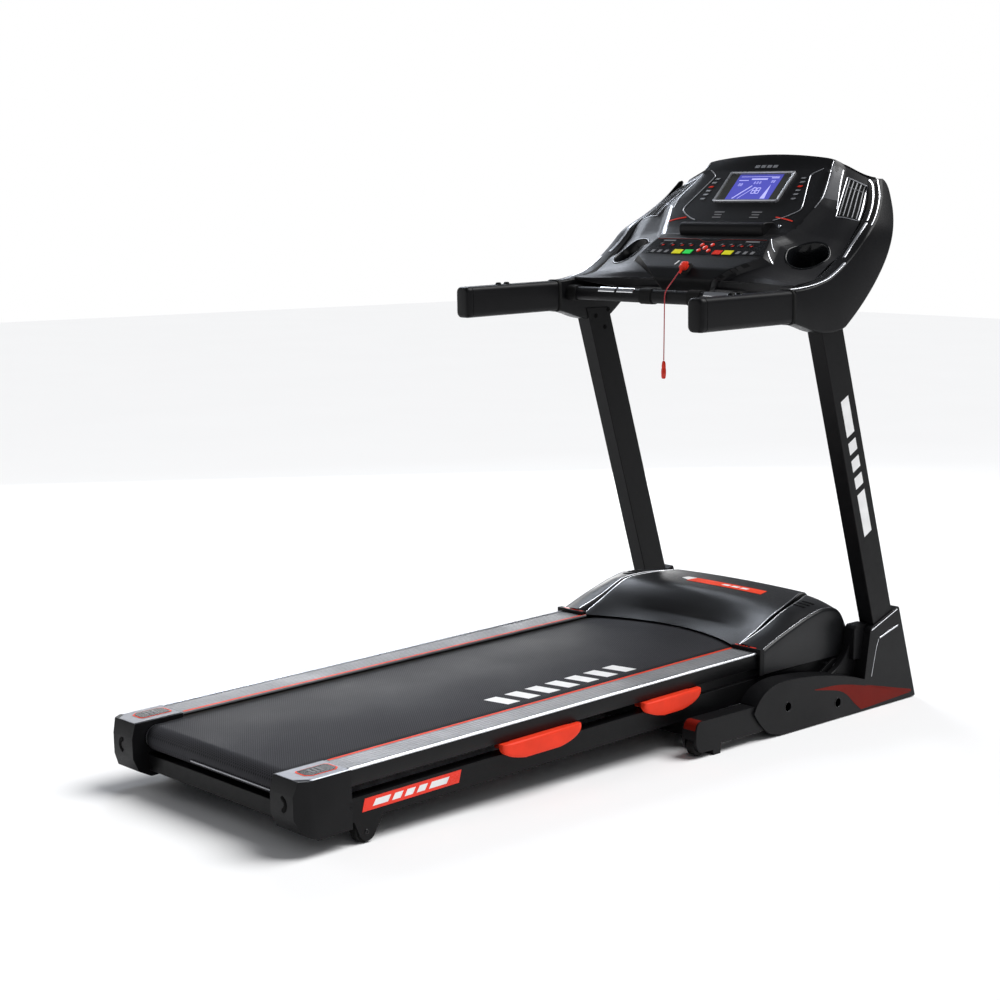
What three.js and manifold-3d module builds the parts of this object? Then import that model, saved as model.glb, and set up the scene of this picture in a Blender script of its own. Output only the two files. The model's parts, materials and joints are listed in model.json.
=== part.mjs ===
// Folding motorised treadmill with console, powered incline and a fold-up deck.
// Millimetres. +Z is up, +X is the user's right, +Y points from the step-on end to the console.
// The origin is on the floor, under the middle of the whole machine.

import * as THREE from 'three';
import { mergeVertices } from 'three/addons/utils/BufferGeometryUtils.js';
import Module from 'manifold-3d';

const wasm = await Module();
wasm.setup();

// ---------------------------------------------------------------- driving dimensions

const GAP = 0.3;               // clearance between pieces that touch
const PIVOT_PLAY = 0.3;        // radial clearance of a pin in its hole
const WALL = 3;                // wall of every moulded shell
const HALF_WIDTH = 375;        // outer face of the base covers and arm covers

const DECK_SLOPE = Math.atan(0.024);            // the deck rises towards the console
const DECK_DATUM = { y: -875, z: 145 };         // foot rail top at the deck's zero station
const DECK_HALF_WIDTH = 306;
const RAIL_INNER = 230;                         // inner edge of a foot rail
const RAIL_END = 1267;                          // station where the foot rails meet the hood
const TUBE_TOP = -57;                           // deck tube, measured down from the rail top
const TUBE_BOTTOM = -102;
const TUBE_INNER = 276;

const BELT_HALF_WIDTH = 215;
const BELT_THICK = 2;
const ROLLER_RADIUS = 24;
const ROLLER_DROP = -32.3;                      // roller axis below the rail top
const REAR_ROLLER = 38;                         // roller stations along the deck
const FRONT_ROLLER = 1355;

const FOLD_AXLE = { y: 641, z: 102, radius: 10 };   // the deck folds and levels about this axle
const LIFT_PIVOT = { y: 491, z: 32, radius: 8 };    // the incline arms swing about this pivot
const HORN = { y: 461, z: 84 };                     // pull point of the incline screw
const ACTUATOR_PIVOT = { y: 232, z: 58 };
const STRUT_TOP = { y: 197, z: 82.7 };              // strut pivots on the deck and on the axle lug
const STRUT_FOOT = { y: 617, z: 84 };

const UPRIGHT_LEAN = -0.325;                    // change of y for each millimetre of height
const UPRIGHT_REAR = 784;                       // rear and front faces, carried down to the floor
const UPRIGHT_FRONT = 861;
const UPRIGHT_TOP = 905;
const UPRIGHT_INNER = 331;
const UPRIGHT_OUTER = 371;

const BASE_TUBE = { inner: 334, outer: 366, bottom: 24, top: 62, rear: 160, front: 852 };
const SLEEVE = { inner: 330, outer: 370, bottom: 22, top: 80, rear: 107, front: 330 };
const COLLAR = 400;                             // the handrails meet the arm covers here
const COLLAR_GAP = 1.2;
const HANDRAIL_TILT = 0.0216;
const LENS_CENTRE = { y: 712, z: 1192.6 };
const CUP = { x: 268, y: 572, z: 1050, radius: 48, depth: 78 };
const TETHER_RADIUS = 1.25;

// ---------------------------------------------------------------- geometry helpers

const v2 = (a, b) => new THREE.Vector2(a, b);
const v3 = (x, y, z) => new THREE.Vector3(x, y, z);

function toSolid(geometry) {
  const bare = geometry.clone();
  bare.deleteAttribute('normal');
  bare.deleteAttribute('uv');
  const merged = mergeVertices(bare, 1e-3);
  return new wasm.Manifold(new wasm.Mesh({
    numProp: 3,
    vertProperties: new Float32Array(merged.attributes.position.array),
    triVerts: new Uint32Array(merged.index.array),
  }));
}

function toGeometry(solid) {
  const mesh = solid.getMesh();
  const geometry = new THREE.BufferGeometry();
  geometry.setAttribute('position', new THREE.BufferAttribute(mesh.vertProperties, 3));
  geometry.setIndex(new THREE.BufferAttribute(mesh.triVerts, 1));
  return geometry;
}

function join(...pieces) {
  return toGeometry(pieces.map(toSolid).reduce((all, next) => all.add(next)));
}

function cut(body, ...tools) {
  return toGeometry(tools.map(toSolid).reduce((all, next) => all.subtract(next), toSolid(body)));
}

function box(x0, x1, y0, y1, z0, z1) {
  const geometry = new THREE.BoxGeometry(x1 - x0, y1 - y0, z1 - z0);
  return geometry.translate((x0 + x1) / 2, (y0 + y1) / 2, (z0 + z1) / 2);
}

function toShape(outline) {
  if (outline instanceof THREE.Shape) return outline;
  return new THREE.Shape(outline.map(([a, b]) => v2(a, b)));
}

function extrude(outline, depth, curveSegments = 5) {
  return new THREE.ExtrudeGeometry(toShape(outline), { depth, bevelEnabled: false, curveSegments });
}

// An outline in (y, z), extruded along x.
function prismX(outline, x0, x1, curveSegments) {
  const turned = new THREE.Matrix4().set(0, 0, 1, x0, 1, 0, 0, 0, 0, 1, 0, 0, 0, 0, 0, 1);
  return extrude(outline, x1 - x0, curveSegments).applyMatrix4(turned);
}

// An outline in (x, z), extruded along y.
function prismY(outline, y0, y1, curveSegments) {
  return extrude(outline, y1 - y0, curveSegments).rotateX(Math.PI / 2).translate(0, y1, 0);
}

// An outline in (x, y), extruded along z.
function prismZ(outline, z0, z1, curveSegments) {
  return extrude(outline, z1 - z0, curveSegments).translate(0, 0, z0);
}

function rod(radius, x0, x1, y, z, sides = 20) {
  const geometry = new THREE.CylinderGeometry(radius, radius, x1 - x0, sides);
  return geometry.rotateZ(-Math.PI / 2).translate((x0 + x1) / 2, y, z);
}

function rodBetween(radius, from, to, sides = 16) {
  const axis = to.clone().sub(from);
  const geometry = new THREE.CylinderGeometry(radius, radius, axis.length(), sides);
  const turn = new THREE.Quaternion().setFromUnitVectors(v3(0, 1, 0), axis.clone().normalize());
  const middle = from.clone().add(to).multiplyScalar(0.5);
  return geometry.applyQuaternion(turn).translate(middle.x, middle.y, middle.z);
}

// A solid of revolution about x from a closed outline of (radius, x) points.
function turned(profile, y, z, sides = 28) {
  const geometry = new THREE.LatheGeometry(profile.map(([r, a]) => v2(r, a)), sides);
  return geometry.rotateZ(-Math.PI / 2).translate(0, y, z);
}

function mirrored(geometry) {
  const copy = geometry.index ? geometry.toNonIndexed() : geometry.clone();
  copy.deleteAttribute('normal');
  copy.deleteAttribute('uv');
  copy.scale(-1, 1, 1);
  const at = copy.attributes.position.array;
  for (let i = 0; i < at.length; i += 9) {
    for (let k = 0; k < 3; k += 1) {
      [at[i + 3 + k], at[i + 6 + k]] = [at[i + 6 + k], at[i + 3 + k]];
    }
  }
  return mergeVertices(copy, 1e-4);
}

function roundedRect(a0, a1, b0, b1, radius) {
  const shape = new THREE.Shape();
  shape.moveTo(a0 + radius, b0);
  shape.lineTo(a1 - radius, b0);
  shape.absarc(a1 - radius, b0 + radius, radius, -Math.PI / 2, 0);
  shape.lineTo(a1, b1 - radius);
  shape.absarc(a1 - radius, b1 - radius, radius, 0, Math.PI / 2);
  shape.lineTo(a0 + radius, b1);
  shape.absarc(a0 + radius, b1 - radius, radius, Math.PI / 2, Math.PI);
  shape.lineTo(a0, b0 + radius);
  shape.absarc(a0 + radius, b0 + radius, radius, Math.PI, Math.PI * 1.5);
  return shape;
}

// The same outline moved inwards by a distance, corner by corner.
function inset(points, distance) {
  const area = points.reduce((sum, p, i) => {
    const q = points[(i + 1) % points.length];
    return sum + p[0] * q[1] - q[0] * p[1];
  }, 0);
  const side = Math.sign(area);
  return points.map((p, i) => {
    const before = points[(i + points.length - 1) % points.length];
    const after = points[(i + 1) % points.length];
    const a = v2(p[0] - before[0], p[1] - before[1]).normalize();
    const b = v2(after[0] - p[0], after[1] - p[1]).normalize();
    const inward = v2(-(a.y + b.y), a.x + b.x).multiplyScalar(side);
    const reach = distance * 2 / inward.lengthSq();
    return [p[0] + inward.x * reach, p[1] + inward.y * reach];
  });
}

const outlineOf = (shape, divisions) => shape.getPoints(divisions).map((p) => [p.x, p.y]);

// A sheet of even thickness over surface(u, v); the thickness lies behind the surface.
function shell(surface, columns, rows, thickness) {
  const step = 1e-3;
  const points = [];
  for (const depth of [0, thickness]) {
    for (let i = 0; i <= columns; i += 1) {
      for (let j = 0; j <= rows; j += 1) {
        const u = i / columns;
        const v = j / rows;
        const u0 = Math.max(u - step, 0);
        const u1 = Math.min(u + step, 1);
        const v0 = Math.max(v - step, 0);
        const v1 = Math.min(v + step, 1);
        const along = surface(u1, v).sub(surface(u0, v));
        const up = surface(u, v1).sub(surface(u, v0));
        const normal = along.cross(up).normalize();
        points.push(surface(u, v).addScaledVector(normal, -depth));
      }
    }
  }
  const count = (columns + 1) * (rows + 1);
  const at = (i, j, k) => k * count + i * (rows + 1) + j;
  const faces = [];
  const quad = (a, b, c, d) => faces.push(a, b, c, a, c, d);
  for (let i = 0; i < columns; i += 1) {
    for (let j = 0; j < rows; j += 1) {
      quad(at(i, j, 0), at(i + 1, j, 0), at(i + 1, j + 1, 0), at(i, j + 1, 0));
      quad(at(i, j, 1), at(i, j + 1, 1), at(i + 1, j + 1, 1), at(i + 1, j, 1));
    }
    quad(at(i, 0, 1), at(i + 1, 0, 1), at(i + 1, 0, 0), at(i, 0, 0));
    quad(at(i, rows, 0), at(i + 1, rows, 0), at(i + 1, rows, 1), at(i, rows, 1));
  }
  for (let j = 0; j < rows; j += 1) {
    quad(at(0, j, 0), at(0, j + 1, 0), at(0, j + 1, 1), at(0, j, 1));
    quad(at(columns, j, 1), at(columns, j + 1, 1), at(columns, j + 1, 0), at(columns, j, 0));
  }
  const geometry = new THREE.BufferGeometry();
  geometry.setAttribute('position', new THREE.Float32BufferAttribute(points.flatMap((p) => [...p]), 3));
  geometry.setIndex(faces);
  return geometry;
}

// ---------------------------------------------------------------- materials and scene graph

const finish = (color, roughness, metalness) => ({ color, roughness, metalness });
const PAINTED_STEEL = finish(0x141415, 0.42, 0.55);
const ZINC_STEEL = finish(0x9a9b9e, 0.35, 0.9);
const BLACK_PLASTIC = finish(0x18181a, 0.45, 0.0);
const HOOD_PLASTIC = finish(0x232427, 0.38, 0.0);
const GREY_RAIL = finish(0x8d8f93, 0.4, 0.4);
const BELT_RUBBER = finish(0x2c2d30, 0.75, 0.0);
const SOFT_RUBBER = finish(0x101011, 0.8, 0.0);
const RED_ELASTOMER = finish(0xe23a20, 0.5, 0.0);
const BOARD = finish(0x5c4632, 0.7, 0.0);
const DISPLAY_GLASS = finish(0x2b33a8, 0.15, 0.0);

const treadmill = new THREE.Group();
const deck = new THREE.Group();
deck.position.set(0, DECK_DATUM.y, DECK_DATUM.z);
deck.rotation.x = DECK_SLOPE;
treadmill.add(deck);

function add(parent, name, geometry, look) {
  const mesh = new THREE.Mesh(geometry, new THREE.MeshStandardMaterial(look));
  mesh.name = name;
  parent.add(mesh);
  return mesh;
}

function addPair(parent, stem, geometry, look) {
  add(parent, `${stem}_right`, geometry, look);
  add(parent, `${stem}_left`, mirrored(geometry), look);
}

// A point given on the floor frame, in the deck's own stations and heights.
function onDeck({ y, z }) {
  const point = v3(0, y - DECK_DATUM.y, z - DECK_DATUM.z).applyAxisAngle(v3(1, 0, 0), -DECK_SLOPE);
  return { y: point.y, z: point.z };
}

// ---------------------------------------------------------------- base frame

const CROSS_TUBE = { rearFrom: 170, rearTo: 205, frontFrom: 817, frontTo: 851, bottom: 24, top: 60 };

function hollowTubeY(x0, x1, z0, z1, y0, y1, wall) {
  const bore = box(x0 + wall, x1 - wall, y0 - 1, y1 + 1, z0 + wall, z1 - wall);
  return cut(box(x0, x1, y0, y1, z0, z1), bore);
}

function baseTube() {
  const { inner, outer, bottom, top, rear, front } = BASE_TUBE;
  const pivotHole = rod(LIFT_PIVOT.radius + PIVOT_PLAY, inner - 1, inner + 5, LIFT_PIVOT.y, LIFT_PIVOT.z);
  const foot = rod(16, 0, bottom + 1, 0, 0).rotateY(-Math.PI / 2).translate(350, 828, 0);
  return join(cut(hollowTubeY(inner, outer, bottom, top, rear, front, WALL), pivotHole), foot);
}

const WHEEL = { radius: 23, y: 131, z: 26, axle: 4 };

// Sleeve over the rear of a base tube: a fork for the transport wheel, and a foot underneath.
function tubeCap() {
  const { inner, outer, bottom, top, rear, front } = SLEEVE;
  const side = new THREE.Shape();
  side.moveTo(front, top);
  side.lineTo(rear + 17, top);
  side.quadraticCurveTo(rear + 2, top, rear, top - 18);
  side.lineTo(rear, 38);
  side.quadraticCurveTo(rear + 1, 16, 128, 12);
  side.lineTo(162, 12);
  side.lineTo(164, 0);
  side.lineTo(186, 0);
  side.lineTo(188, bottom);
  side.lineTo(front, bottom);
  const slot = { from: 337, to: 363 };
  const wheelRoom = rod(WHEEL.radius + 2, slot.from, slot.to, WHEEL.y, WHEEL.z, 24);
  const rearRoom = box(slot.from, slot.to, 80, WHEEL.y, -5, WHEEL.z + 14);
  const floorRoom = box(slot.from, slot.to, 80, WHEEL.y + WHEEL.radius + 2, -5, WHEEL.z);
  const tubeRoom = box(BASE_TUBE.inner - GAP, BASE_TUBE.outer + GAP, BASE_TUBE.rear - GAP, front + 1,
    BASE_TUBE.bottom - GAP, BASE_TUBE.top + GAP);
  const upperRoom = box(inner + WALL, outer - WALL, BASE_TUBE.rear - GAP, front + 1,
    BASE_TUBE.top, top - WALL);
  const crossRoom = box(inner - 1, BASE_TUBE.inner, CROSS_TUBE.rearFrom - GAP, CROSS_TUBE.rearTo + GAP,
    CROSS_TUBE.bottom - GAP, CROSS_TUBE.top + GAP);
  const axle = rod(WHEEL.axle, slot.from - 1, slot.to + 1, WHEEL.y, WHEEL.z, 12);
  return join(cut(prismX(side, inner, outer), wheelRoom, rearRoom, floorRoom, tubeRoom, upperRoom,
    crossRoom), axle);
}

function wheel(x0, x1, radius, bore, y, z) {
  const chamfer = 2.5;
  return turned([
    [bore, x0 + chamfer], [radius - chamfer, x0], [radius, x0 + chamfer], [radius, x1 - chamfer],
    [radius - chamfer, x1], [bore, x1 - chamfer], [bore, x0 + chamfer],
  ], y, z, 22);
}

function upright() {
  const bottom = BASE_TUBE.top + GAP;
  const at = (face, z) => [face + UPRIGHT_LEAN * z, z];
  const outside = (grow) => [
    at(UPRIGHT_REAR + grow, bottom - grow), at(UPRIGHT_FRONT - grow, bottom - grow),
    at(UPRIGHT_FRONT - grow, UPRIGHT_TOP + grow), at(UPRIGHT_REAR + grow, UPRIGHT_TOP + grow),
  ];
  const bore = prismX(outside(WALL), UPRIGHT_INNER + WALL, UPRIGHT_OUTER - WALL);
  return cut(prismX(outside(0), UPRIGHT_INNER, UPRIGHT_OUTER), bore);
}

function baseCoverOutline() {
  const side = new THREE.Shape();
  side.moveTo(291, 67);
  side.quadraticCurveTo(316, 124, 410, 122);
  side.quadraticCurveTo(560, 116, 686, 76);
  side.lineTo(704, 192);
  side.lineTo(811, 231);
  side.lineTo(889, 2);
  side.lineTo(390, 2);
  side.lineTo(347, 12);
  return side;
}

function baseCover() {
  const outline = outlineOf(baseCoverOutline(), 6);
  const open = 326.3;
  const outer = prismX(outline, open, HALF_WIDTH);
  const pocket = prismX(inset(outline, WALL), open - 1, HALF_WIDTH - WALL);
  const tubeRoom = box(open - 1, SLEEVE.outer + GAP, 280, 420, SLEEVE.bottom - GAP, SLEEVE.top + GAP);
  const floorRoom = box(open - 1, HALF_WIDTH - WALL, 400, 878, 0, 6);
  const room = 1;
  const uprightRoom = prismX([
    [UPRIGHT_REAR + UPRIGHT_LEAN * 100 - room, 100], [UPRIGHT_FRONT + UPRIGHT_LEAN * 100 + room, 100],
    [UPRIGHT_FRONT + UPRIGHT_LEAN * 300 + room, 300], [UPRIGHT_REAR + UPRIGHT_LEAN * 300 - room, 300],
  ], open - 1, UPRIGHT_OUTER + GAP);
  const fin = new THREE.Shape();
  fin.moveTo(560, 92);
  fin.quadraticCurveTo(668, 96, 690, 160);
  fin.lineTo(760, 170);
  fin.lineTo(760, 60);
  fin.lineTo(560, 60);
  const finPlate = prismX(fin, open, open + WALL);
  return join(cut(outer, pocket, tubeRoom, floorRoom, uprightRoom), finPlate);
}

addPair(treadmill, 'base_tube', baseTube(), PAINTED_STEEL);
addPair(treadmill, 'tube_cap', tubeCap(), BLACK_PLASTIC);
addPair(treadmill, 'base_wheel',
  wheel(338.5, 361.5, WHEEL.radius, WHEEL.axle + PIVOT_PLAY, WHEEL.y, WHEEL.z), SOFT_RUBBER);
addPair(treadmill, 'upright', upright(), PAINTED_STEEL);
addPair(treadmill, 'base_cover', baseCover(), BLACK_PLASTIC);

const crossReach = BASE_TUBE.inner - GAP;
const actuatorPin = rod(5, 50, 84, ACTUATOR_PIVOT.y, ACTUATOR_PIVOT.z);
const actuatorLug = box(48, 56, CROSS_TUBE.rearTo - 3, ACTUATOR_PIVOT.y + 9, 44, 70);
add(treadmill, 'base_cross_rear', join(
  box(-crossReach, crossReach, CROSS_TUBE.rearFrom, CROSS_TUBE.rearTo, CROSS_TUBE.bottom, CROSS_TUBE.top),
  actuatorLug, actuatorPin,
), PAINTED_STEEL);
add(treadmill, 'base_cross_front', box(
  -crossReach, crossReach, CROSS_TUBE.frontFrom, CROSS_TUBE.frontTo, CROSS_TUBE.bottom, CROSS_TUBE.top,
), PAINTED_STEEL);

// ---------------------------------------------------------------- incline mechanism

const ARM_PLATE = { inner: 318, outer: 324 };

// A flat link between two round ends.
function link(from, fromRadius, to, toRadius, x0, x1) {
  const angle = Math.atan2(to.z - from.z, to.y - from.y);
  const shape = new THREE.Shape();
  shape.absarc(from.y, from.z, fromRadius, angle + Math.PI / 2, angle + Math.PI * 1.5);
  shape.absarc(to.y, to.z, toRadius, angle - Math.PI / 2, angle + Math.PI / 2);
  return prismX(shape, x0, x1, 7);
}

const { inner: armIn, outer: armOut } = ARM_PLATE;
const pivotPin = rod(LIFT_PIVOT.radius, armOut - 1, BASE_TUBE.inner + WALL, LIFT_PIVOT.y, LIFT_PIVOT.z);
addPair(treadmill, 'lift_arm', join(
  cut(
    link(LIFT_PIVOT, 20, FOLD_AXLE, 22, armIn, armOut),
    rod(FOLD_AXLE.radius + PIVOT_PLAY, armIn - 1, armOut + 1, FOLD_AXLE.y, FOLD_AXLE.z),
  ),
  pivotPin,
), PAINTED_STEEL);
const liftReach = armIn - GAP;
add(treadmill, 'lift_tube', join(
  rod(16, -liftReach, liftReach, LIFT_PIVOT.y, LIFT_PIVOT.z, 24),
  link(LIFT_PIVOT, 14, HORN, 11, 79, 87),
), PAINTED_STEEL);

const LUG = { from: -122, to: -116, eyeFrom: -133, eyeTo: -123 };
add(treadmill, 'hinge_carrier', join(
  rod(FOLD_AXLE.radius, -armOut, armOut, FOLD_AXLE.y, FOLD_AXLE.z, 24),
  link(FOLD_AXLE, 15, STRUT_FOOT, 9, LUG.from, LUG.to),
), ZINC_STEEL);

// The incline motor is built along +y from its pivot, then tipped onto the line to the horn.
const screwLine = Math.atan2(HORN.z - ACTUATOR_PIVOT.z, HORN.y - ACTUATOR_PIVOT.y);
const screwLength = Math.hypot(HORN.z - ACTUATOR_PIVOT.z, HORN.y - ACTUATOR_PIVOT.y);
const actuator = new THREE.Group();
actuator.position.set(70, ACTUATOR_PIVOT.y, ACTUATOR_PIVOT.z);
actuator.rotation.x = screwLine;
treadmill.add(actuator);

const alongY = (radius, y0, y1, x = 0, sides = 20) => rodBetween(radius, v3(x, y0, 0), v3(x, y1, 0), sides);
const screwBore = alongY(9, 30, 160);
const housing = join(alongY(17, 22, 132), box(-17, 62, 22, 52, -19, 19), alongY(24, 52, 128, 42));
const motorEye = cut(join(rod(13, -13, 13, 0, 0), box(-13, 13, 0, 24, -13, 13)), rod(5.3, -20, 20, 0, 0));
add(actuator, 'incline_motor', cut(join(housing, motorEye), screwBore), BLACK_PLASTIC);
add(actuator, 'incline_screw', join(
  alongY(8, 60, screwLength - 8),
  rod(11, -8, 8, screwLength, 0),
), ZINC_STEEL);

// ---------------------------------------------------------------- fold-assist strut

const strutFrom = v3(-128, STRUT_TOP.y, STRUT_TOP.z);
const strutTo = v3(-128, STRUT_FOOT.y, STRUT_FOOT.z);
const onStrut = (t) => strutFrom.clone().lerp(strutTo, t);
const cylinderBody = join(
  cut(rodBetween(10, onStrut(0.06), onStrut(0.6), 20), rodBetween(4.4, onStrut(0.1), onStrut(0.62), 12)),
  rodBetween(4.6, onStrut(0.01), onStrut(0.07), 12),
  rod(9, LUG.eyeFrom, LUG.eyeTo, STRUT_TOP.y, STRUT_TOP.z),
);
add(treadmill, 'strut_cylinder',
  cut(cylinderBody, rod(4.3, LUG.eyeFrom - 1, LUG.eyeTo + 1, STRUT_TOP.y, STRUT_TOP.z, 12)), PAINTED_STEEL);
add(treadmill, 'strut_rod', join(
  rodBetween(4, onStrut(0.25), onStrut(0.99), 12),
  rod(8, LUG.eyeFrom, LUG.eyeTo, STRUT_FOOT.y, STRUT_FOOT.z),
), ZINC_STEEL);

// ---------------------------------------------------------------- deck frame

const axleOnDeck = onDeck(FOLD_AXLE);
const strutOnDeck = onDeck(STRUT_TOP);
const DECK_WHEEL = { radius: 22, v: 141, w: -126.4, axle: 5 };
const DECK_TUBE_START = 60;
const DECK_TUBE_END = 1560;

function deckRail() {
  const tube = hollowTubeY(TUBE_INNER, DECK_HALF_WIDTH, TUBE_BOTTOM, TUBE_TOP,
    DECK_TUBE_START, DECK_TUBE_END, 2.5);
  const axleHole = rod(FOLD_AXLE.radius + PIVOT_PLAY, TUBE_INNER - 1, DECK_HALF_WIDTH + 1,
    axleOnDeck.y, axleOnDeck.z, 24);
  const cheek = new THREE.Shape();
  cheek.moveTo(112, TUBE_BOTTOM + 1);
  cheek.lineTo(126, DECK_WHEEL.w - 8);
  cheek.absarc(144, DECK_WHEEL.w, 18, Math.PI * 1.15, Math.PI * 1.9);
  cheek.lineTo(182, TUBE_BOTTOM + 1);
  const cheeks = [[TUBE_INNER, TUBE_INNER + 3], [DECK_HALF_WIDTH - 3, DECK_HALF_WIDTH]]
    .map(([x0, x1]) => prismX(cheek, x0, x1));
  const axle = rod(DECK_WHEEL.axle, TUBE_INNER + 1, DECK_HALF_WIDTH - 1, DECK_WHEEL.v, DECK_WHEEL.w, 12);
  return join(cut(tube, axleHole), ...cheeks, axle);
}

addPair(deck, 'deck_rail', deckRail(), PAINTED_STEEL);
addPair(deck, 'deck_wheel',
  wheel(281, 301, DECK_WHEEL.radius, DECK_WHEEL.axle + PIVOT_PLAY, DECK_WHEEL.v, DECK_WHEEL.w), SOFT_RUBBER);

const memberReach = TUBE_INNER - GAP;
add(deck, 'deck_cross_rear', box(-memberReach, memberReach, 22, 58, -100, -66), PAINTED_STEEL);
const strutLug = box(LUG.from, LUG.to, 1048, strutOnDeck.y + 10, strutOnDeck.z - 9, strutOnDeck.z + 9);
const strutPin = rod(4, LUG.eyeFrom, LUG.from + 1, strutOnDeck.y, strutOnDeck.z, 12);
add(deck, 'deck_cross_front', join(
  box(-memberReach, memberReach, 1018, 1052, -100, -66), strutLug, strutPin,
), PAINTED_STEEL);

// ---------------------------------------------------------------- running surface

const BOARD_TOP = -8.4;
const BOARD_BOTTOM = -24.3;
const CAP_FRONT = 106;
add(deck, 'deck_board', join(
  box(-272, 272, CAP_FRONT + GAP, 1315, BOARD_BOTTOM, BOARD_TOP),
  box(-224, 224, 68, CAP_FRONT + 10, BOARD_BOTTOM, BOARD_TOP),
), BOARD);

function beltLoop() {
  const loop = (radius) => {
    const shape = new THREE.Shape();
    shape.absarc(REAR_ROLLER, ROLLER_DROP, radius, Math.PI / 2, Math.PI * 1.5);
    shape.absarc(FRONT_ROLLER, ROLLER_DROP, radius, -Math.PI / 2, Math.PI / 2);
    return shape;
  };
  const inside = ROLLER_RADIUS + GAP;
  const outer = loop(inside + BELT_THICK);
  outer.holes.push(loop(inside));
  return prismX(outer, -BELT_HALF_WIDTH, BELT_HALF_WIDTH, 9);
}

add(deck, 'running_belt', beltLoop(), BELT_RUBBER);

const STUB = 6;                // radius of the roller shafts
add(deck, 'rear_roller', turned([
  [0, -260], [STUB, -260], [STUB, -222], [ROLLER_RADIUS, -222],
  [ROLLER_RADIUS, 222], [STUB, 222], [STUB, 260], [0, 260],
], REAR_ROLLER, ROLLER_DROP, 24), ZINC_STEEL);

const PULLEY = { x0: -252, x1: -234, roller: 29, motor: 14, motorV: 1476, motorW: -12 };
add(deck, 'front_roller', turned([
  [0, -262], [STUB, -262], [STUB, PULLEY.x0], [PULLEY.roller, PULLEY.x0], [PULLEY.roller, PULLEY.x1],
  [STUB, PULLEY.x1], [STUB, -222], [ROLLER_RADIUS, -222],
  [ROLLER_RADIUS, 222], [STUB, 222], [STUB, 260], [0, 260],
], FRONT_ROLLER, ROLLER_DROP, 24), ZINC_STEEL);

const cushionReach = 320;
function cushion(from, to) {
  const flange = new THREE.Shape();
  const top = -34.6;
  const bottom = -72;
  flange.moveTo(from, top);
  flange.lineTo(to, top);
  flange.quadraticCurveTo(to + 6, bottom + 8, to - 70, bottom);
  flange.lineTo(from + 70, bottom);
  flange.quadraticCurveTo(from - 6, bottom + 8, from, top);
  return join(
    prismX(flange, DECK_HALF_WIDTH + GAP, cushionReach),
    box(262, DECK_HALF_WIDTH + 2, from + 30, to - 30, TUBE_TOP + GAP, top),
    box(262, 300, from + 30, to - 30, top - 2, BOARD_BOTTOM - GAP),
  );
}

addPair(deck, 'cushion_rear', cushion(472, 692), RED_ELASTOMER);
addPair(deck, 'cushion_front', cushion(876, 1056), RED_ELASTOMER);

function footRail() {
  const section = [
    [RAIL_INNER, -5], [RAIL_INNER + 3, -5], [RAIL_INNER + 3, -4], [240, -4], [240, -8], [296, -8],
    [296, -4], [303, -4], [303, -34], [DECK_HALF_WIDTH, -34], [DECK_HALF_WIDTH, 0], [RAIL_INNER, 0],
  ];
  return prismY(section, CAP_FRONT + GAP, RAIL_END);
}

addPair(deck, 'foot_rail', footRail(), GREY_RAIL);

function endCap() {
  const outline = [
    [-14.7, -28], [-6, 0], [CAP_FRONT, 0], [CAP_FRONT, -112], [26, -113], [-2, -98], [-14.7, -70],
  ];
  const outside = prismX(outline, 226, 310);
  const hollow = prismX([
    [-10, -29], [-3, -WALL], [120, -WALL], [120, -110], [26, -110], [1, -96], [-10, -69],
  ], 229, 307);
  const shaftHole = rod(STUB + GAP, 220, 232, REAR_ROLLER, ROLLER_DROP);
  const crossRoom = box(220, 232, 21, 59, -101, -65);
  return cut(outside, hollow, shaftHole, crossRoom);
}

addPair(deck, 'end_cap', endCap(), BLACK_PLASTIC);

// ---------------------------------------------------------------- drive and hood

const motorBody = { v: PULLEY.motorV, w: PULLEY.motorW, radius: 42, x0: -150, x1: 60 };
const motorBore = rod(9, -160, 90, motorBody.v, motorBody.w, 16);
const motorFoot = box(-140, 50, motorBody.v - 30, motorBody.v + 30, -58.7, motorBody.w - 30);
add(deck, 'drive_motor', cut(join(
  rod(motorBody.radius, motorBody.x0, motorBody.x1, motorBody.v, motorBody.w, 28), motorFoot,
), motorBore), PAINTED_STEEL);
add(deck, 'motor_rotor', turned([
  [0, -258], [PULLEY.motor, -258], [PULLEY.motor, -236], [8, -236], [8, -214], [38, -214], [38, -190],
  [8, -190], [8, 76], [0, 76],
], motorBody.v, motorBody.w, 20), ZINC_STEEL);

// The poly-V belt: a loop round two pulleys of different size.
function driveBelt() {
  const a = v2(FRONT_ROLLER, ROLLER_DROP);
  const b = v2(PULLEY.motorV, PULLEY.motorW);
  const line = b.clone().sub(a);
  const tilt = line.angle();
  const loop = (extra) => {
    const ra = PULLEY.roller + extra;
    const rb = PULLEY.motor + extra;
    const lean = Math.acos((ra - rb) / line.length());
    const shape = new THREE.Shape();
    shape.absarc(a.x, a.y, ra, tilt + lean, tilt - lean + Math.PI * 2);
    shape.absarc(b.x, b.y, rb, tilt - lean, tilt + lean);
    return shape;
  };
  const outer = loop(GAP + 3);
  outer.holes.push(loop(GAP));
  return prismX(outer, PULLEY.x0 + 1, PULLEY.x1 - 1, 8);
}

add(deck, 'drive_belt', driveBelt(), SOFT_RUBBER);

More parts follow.
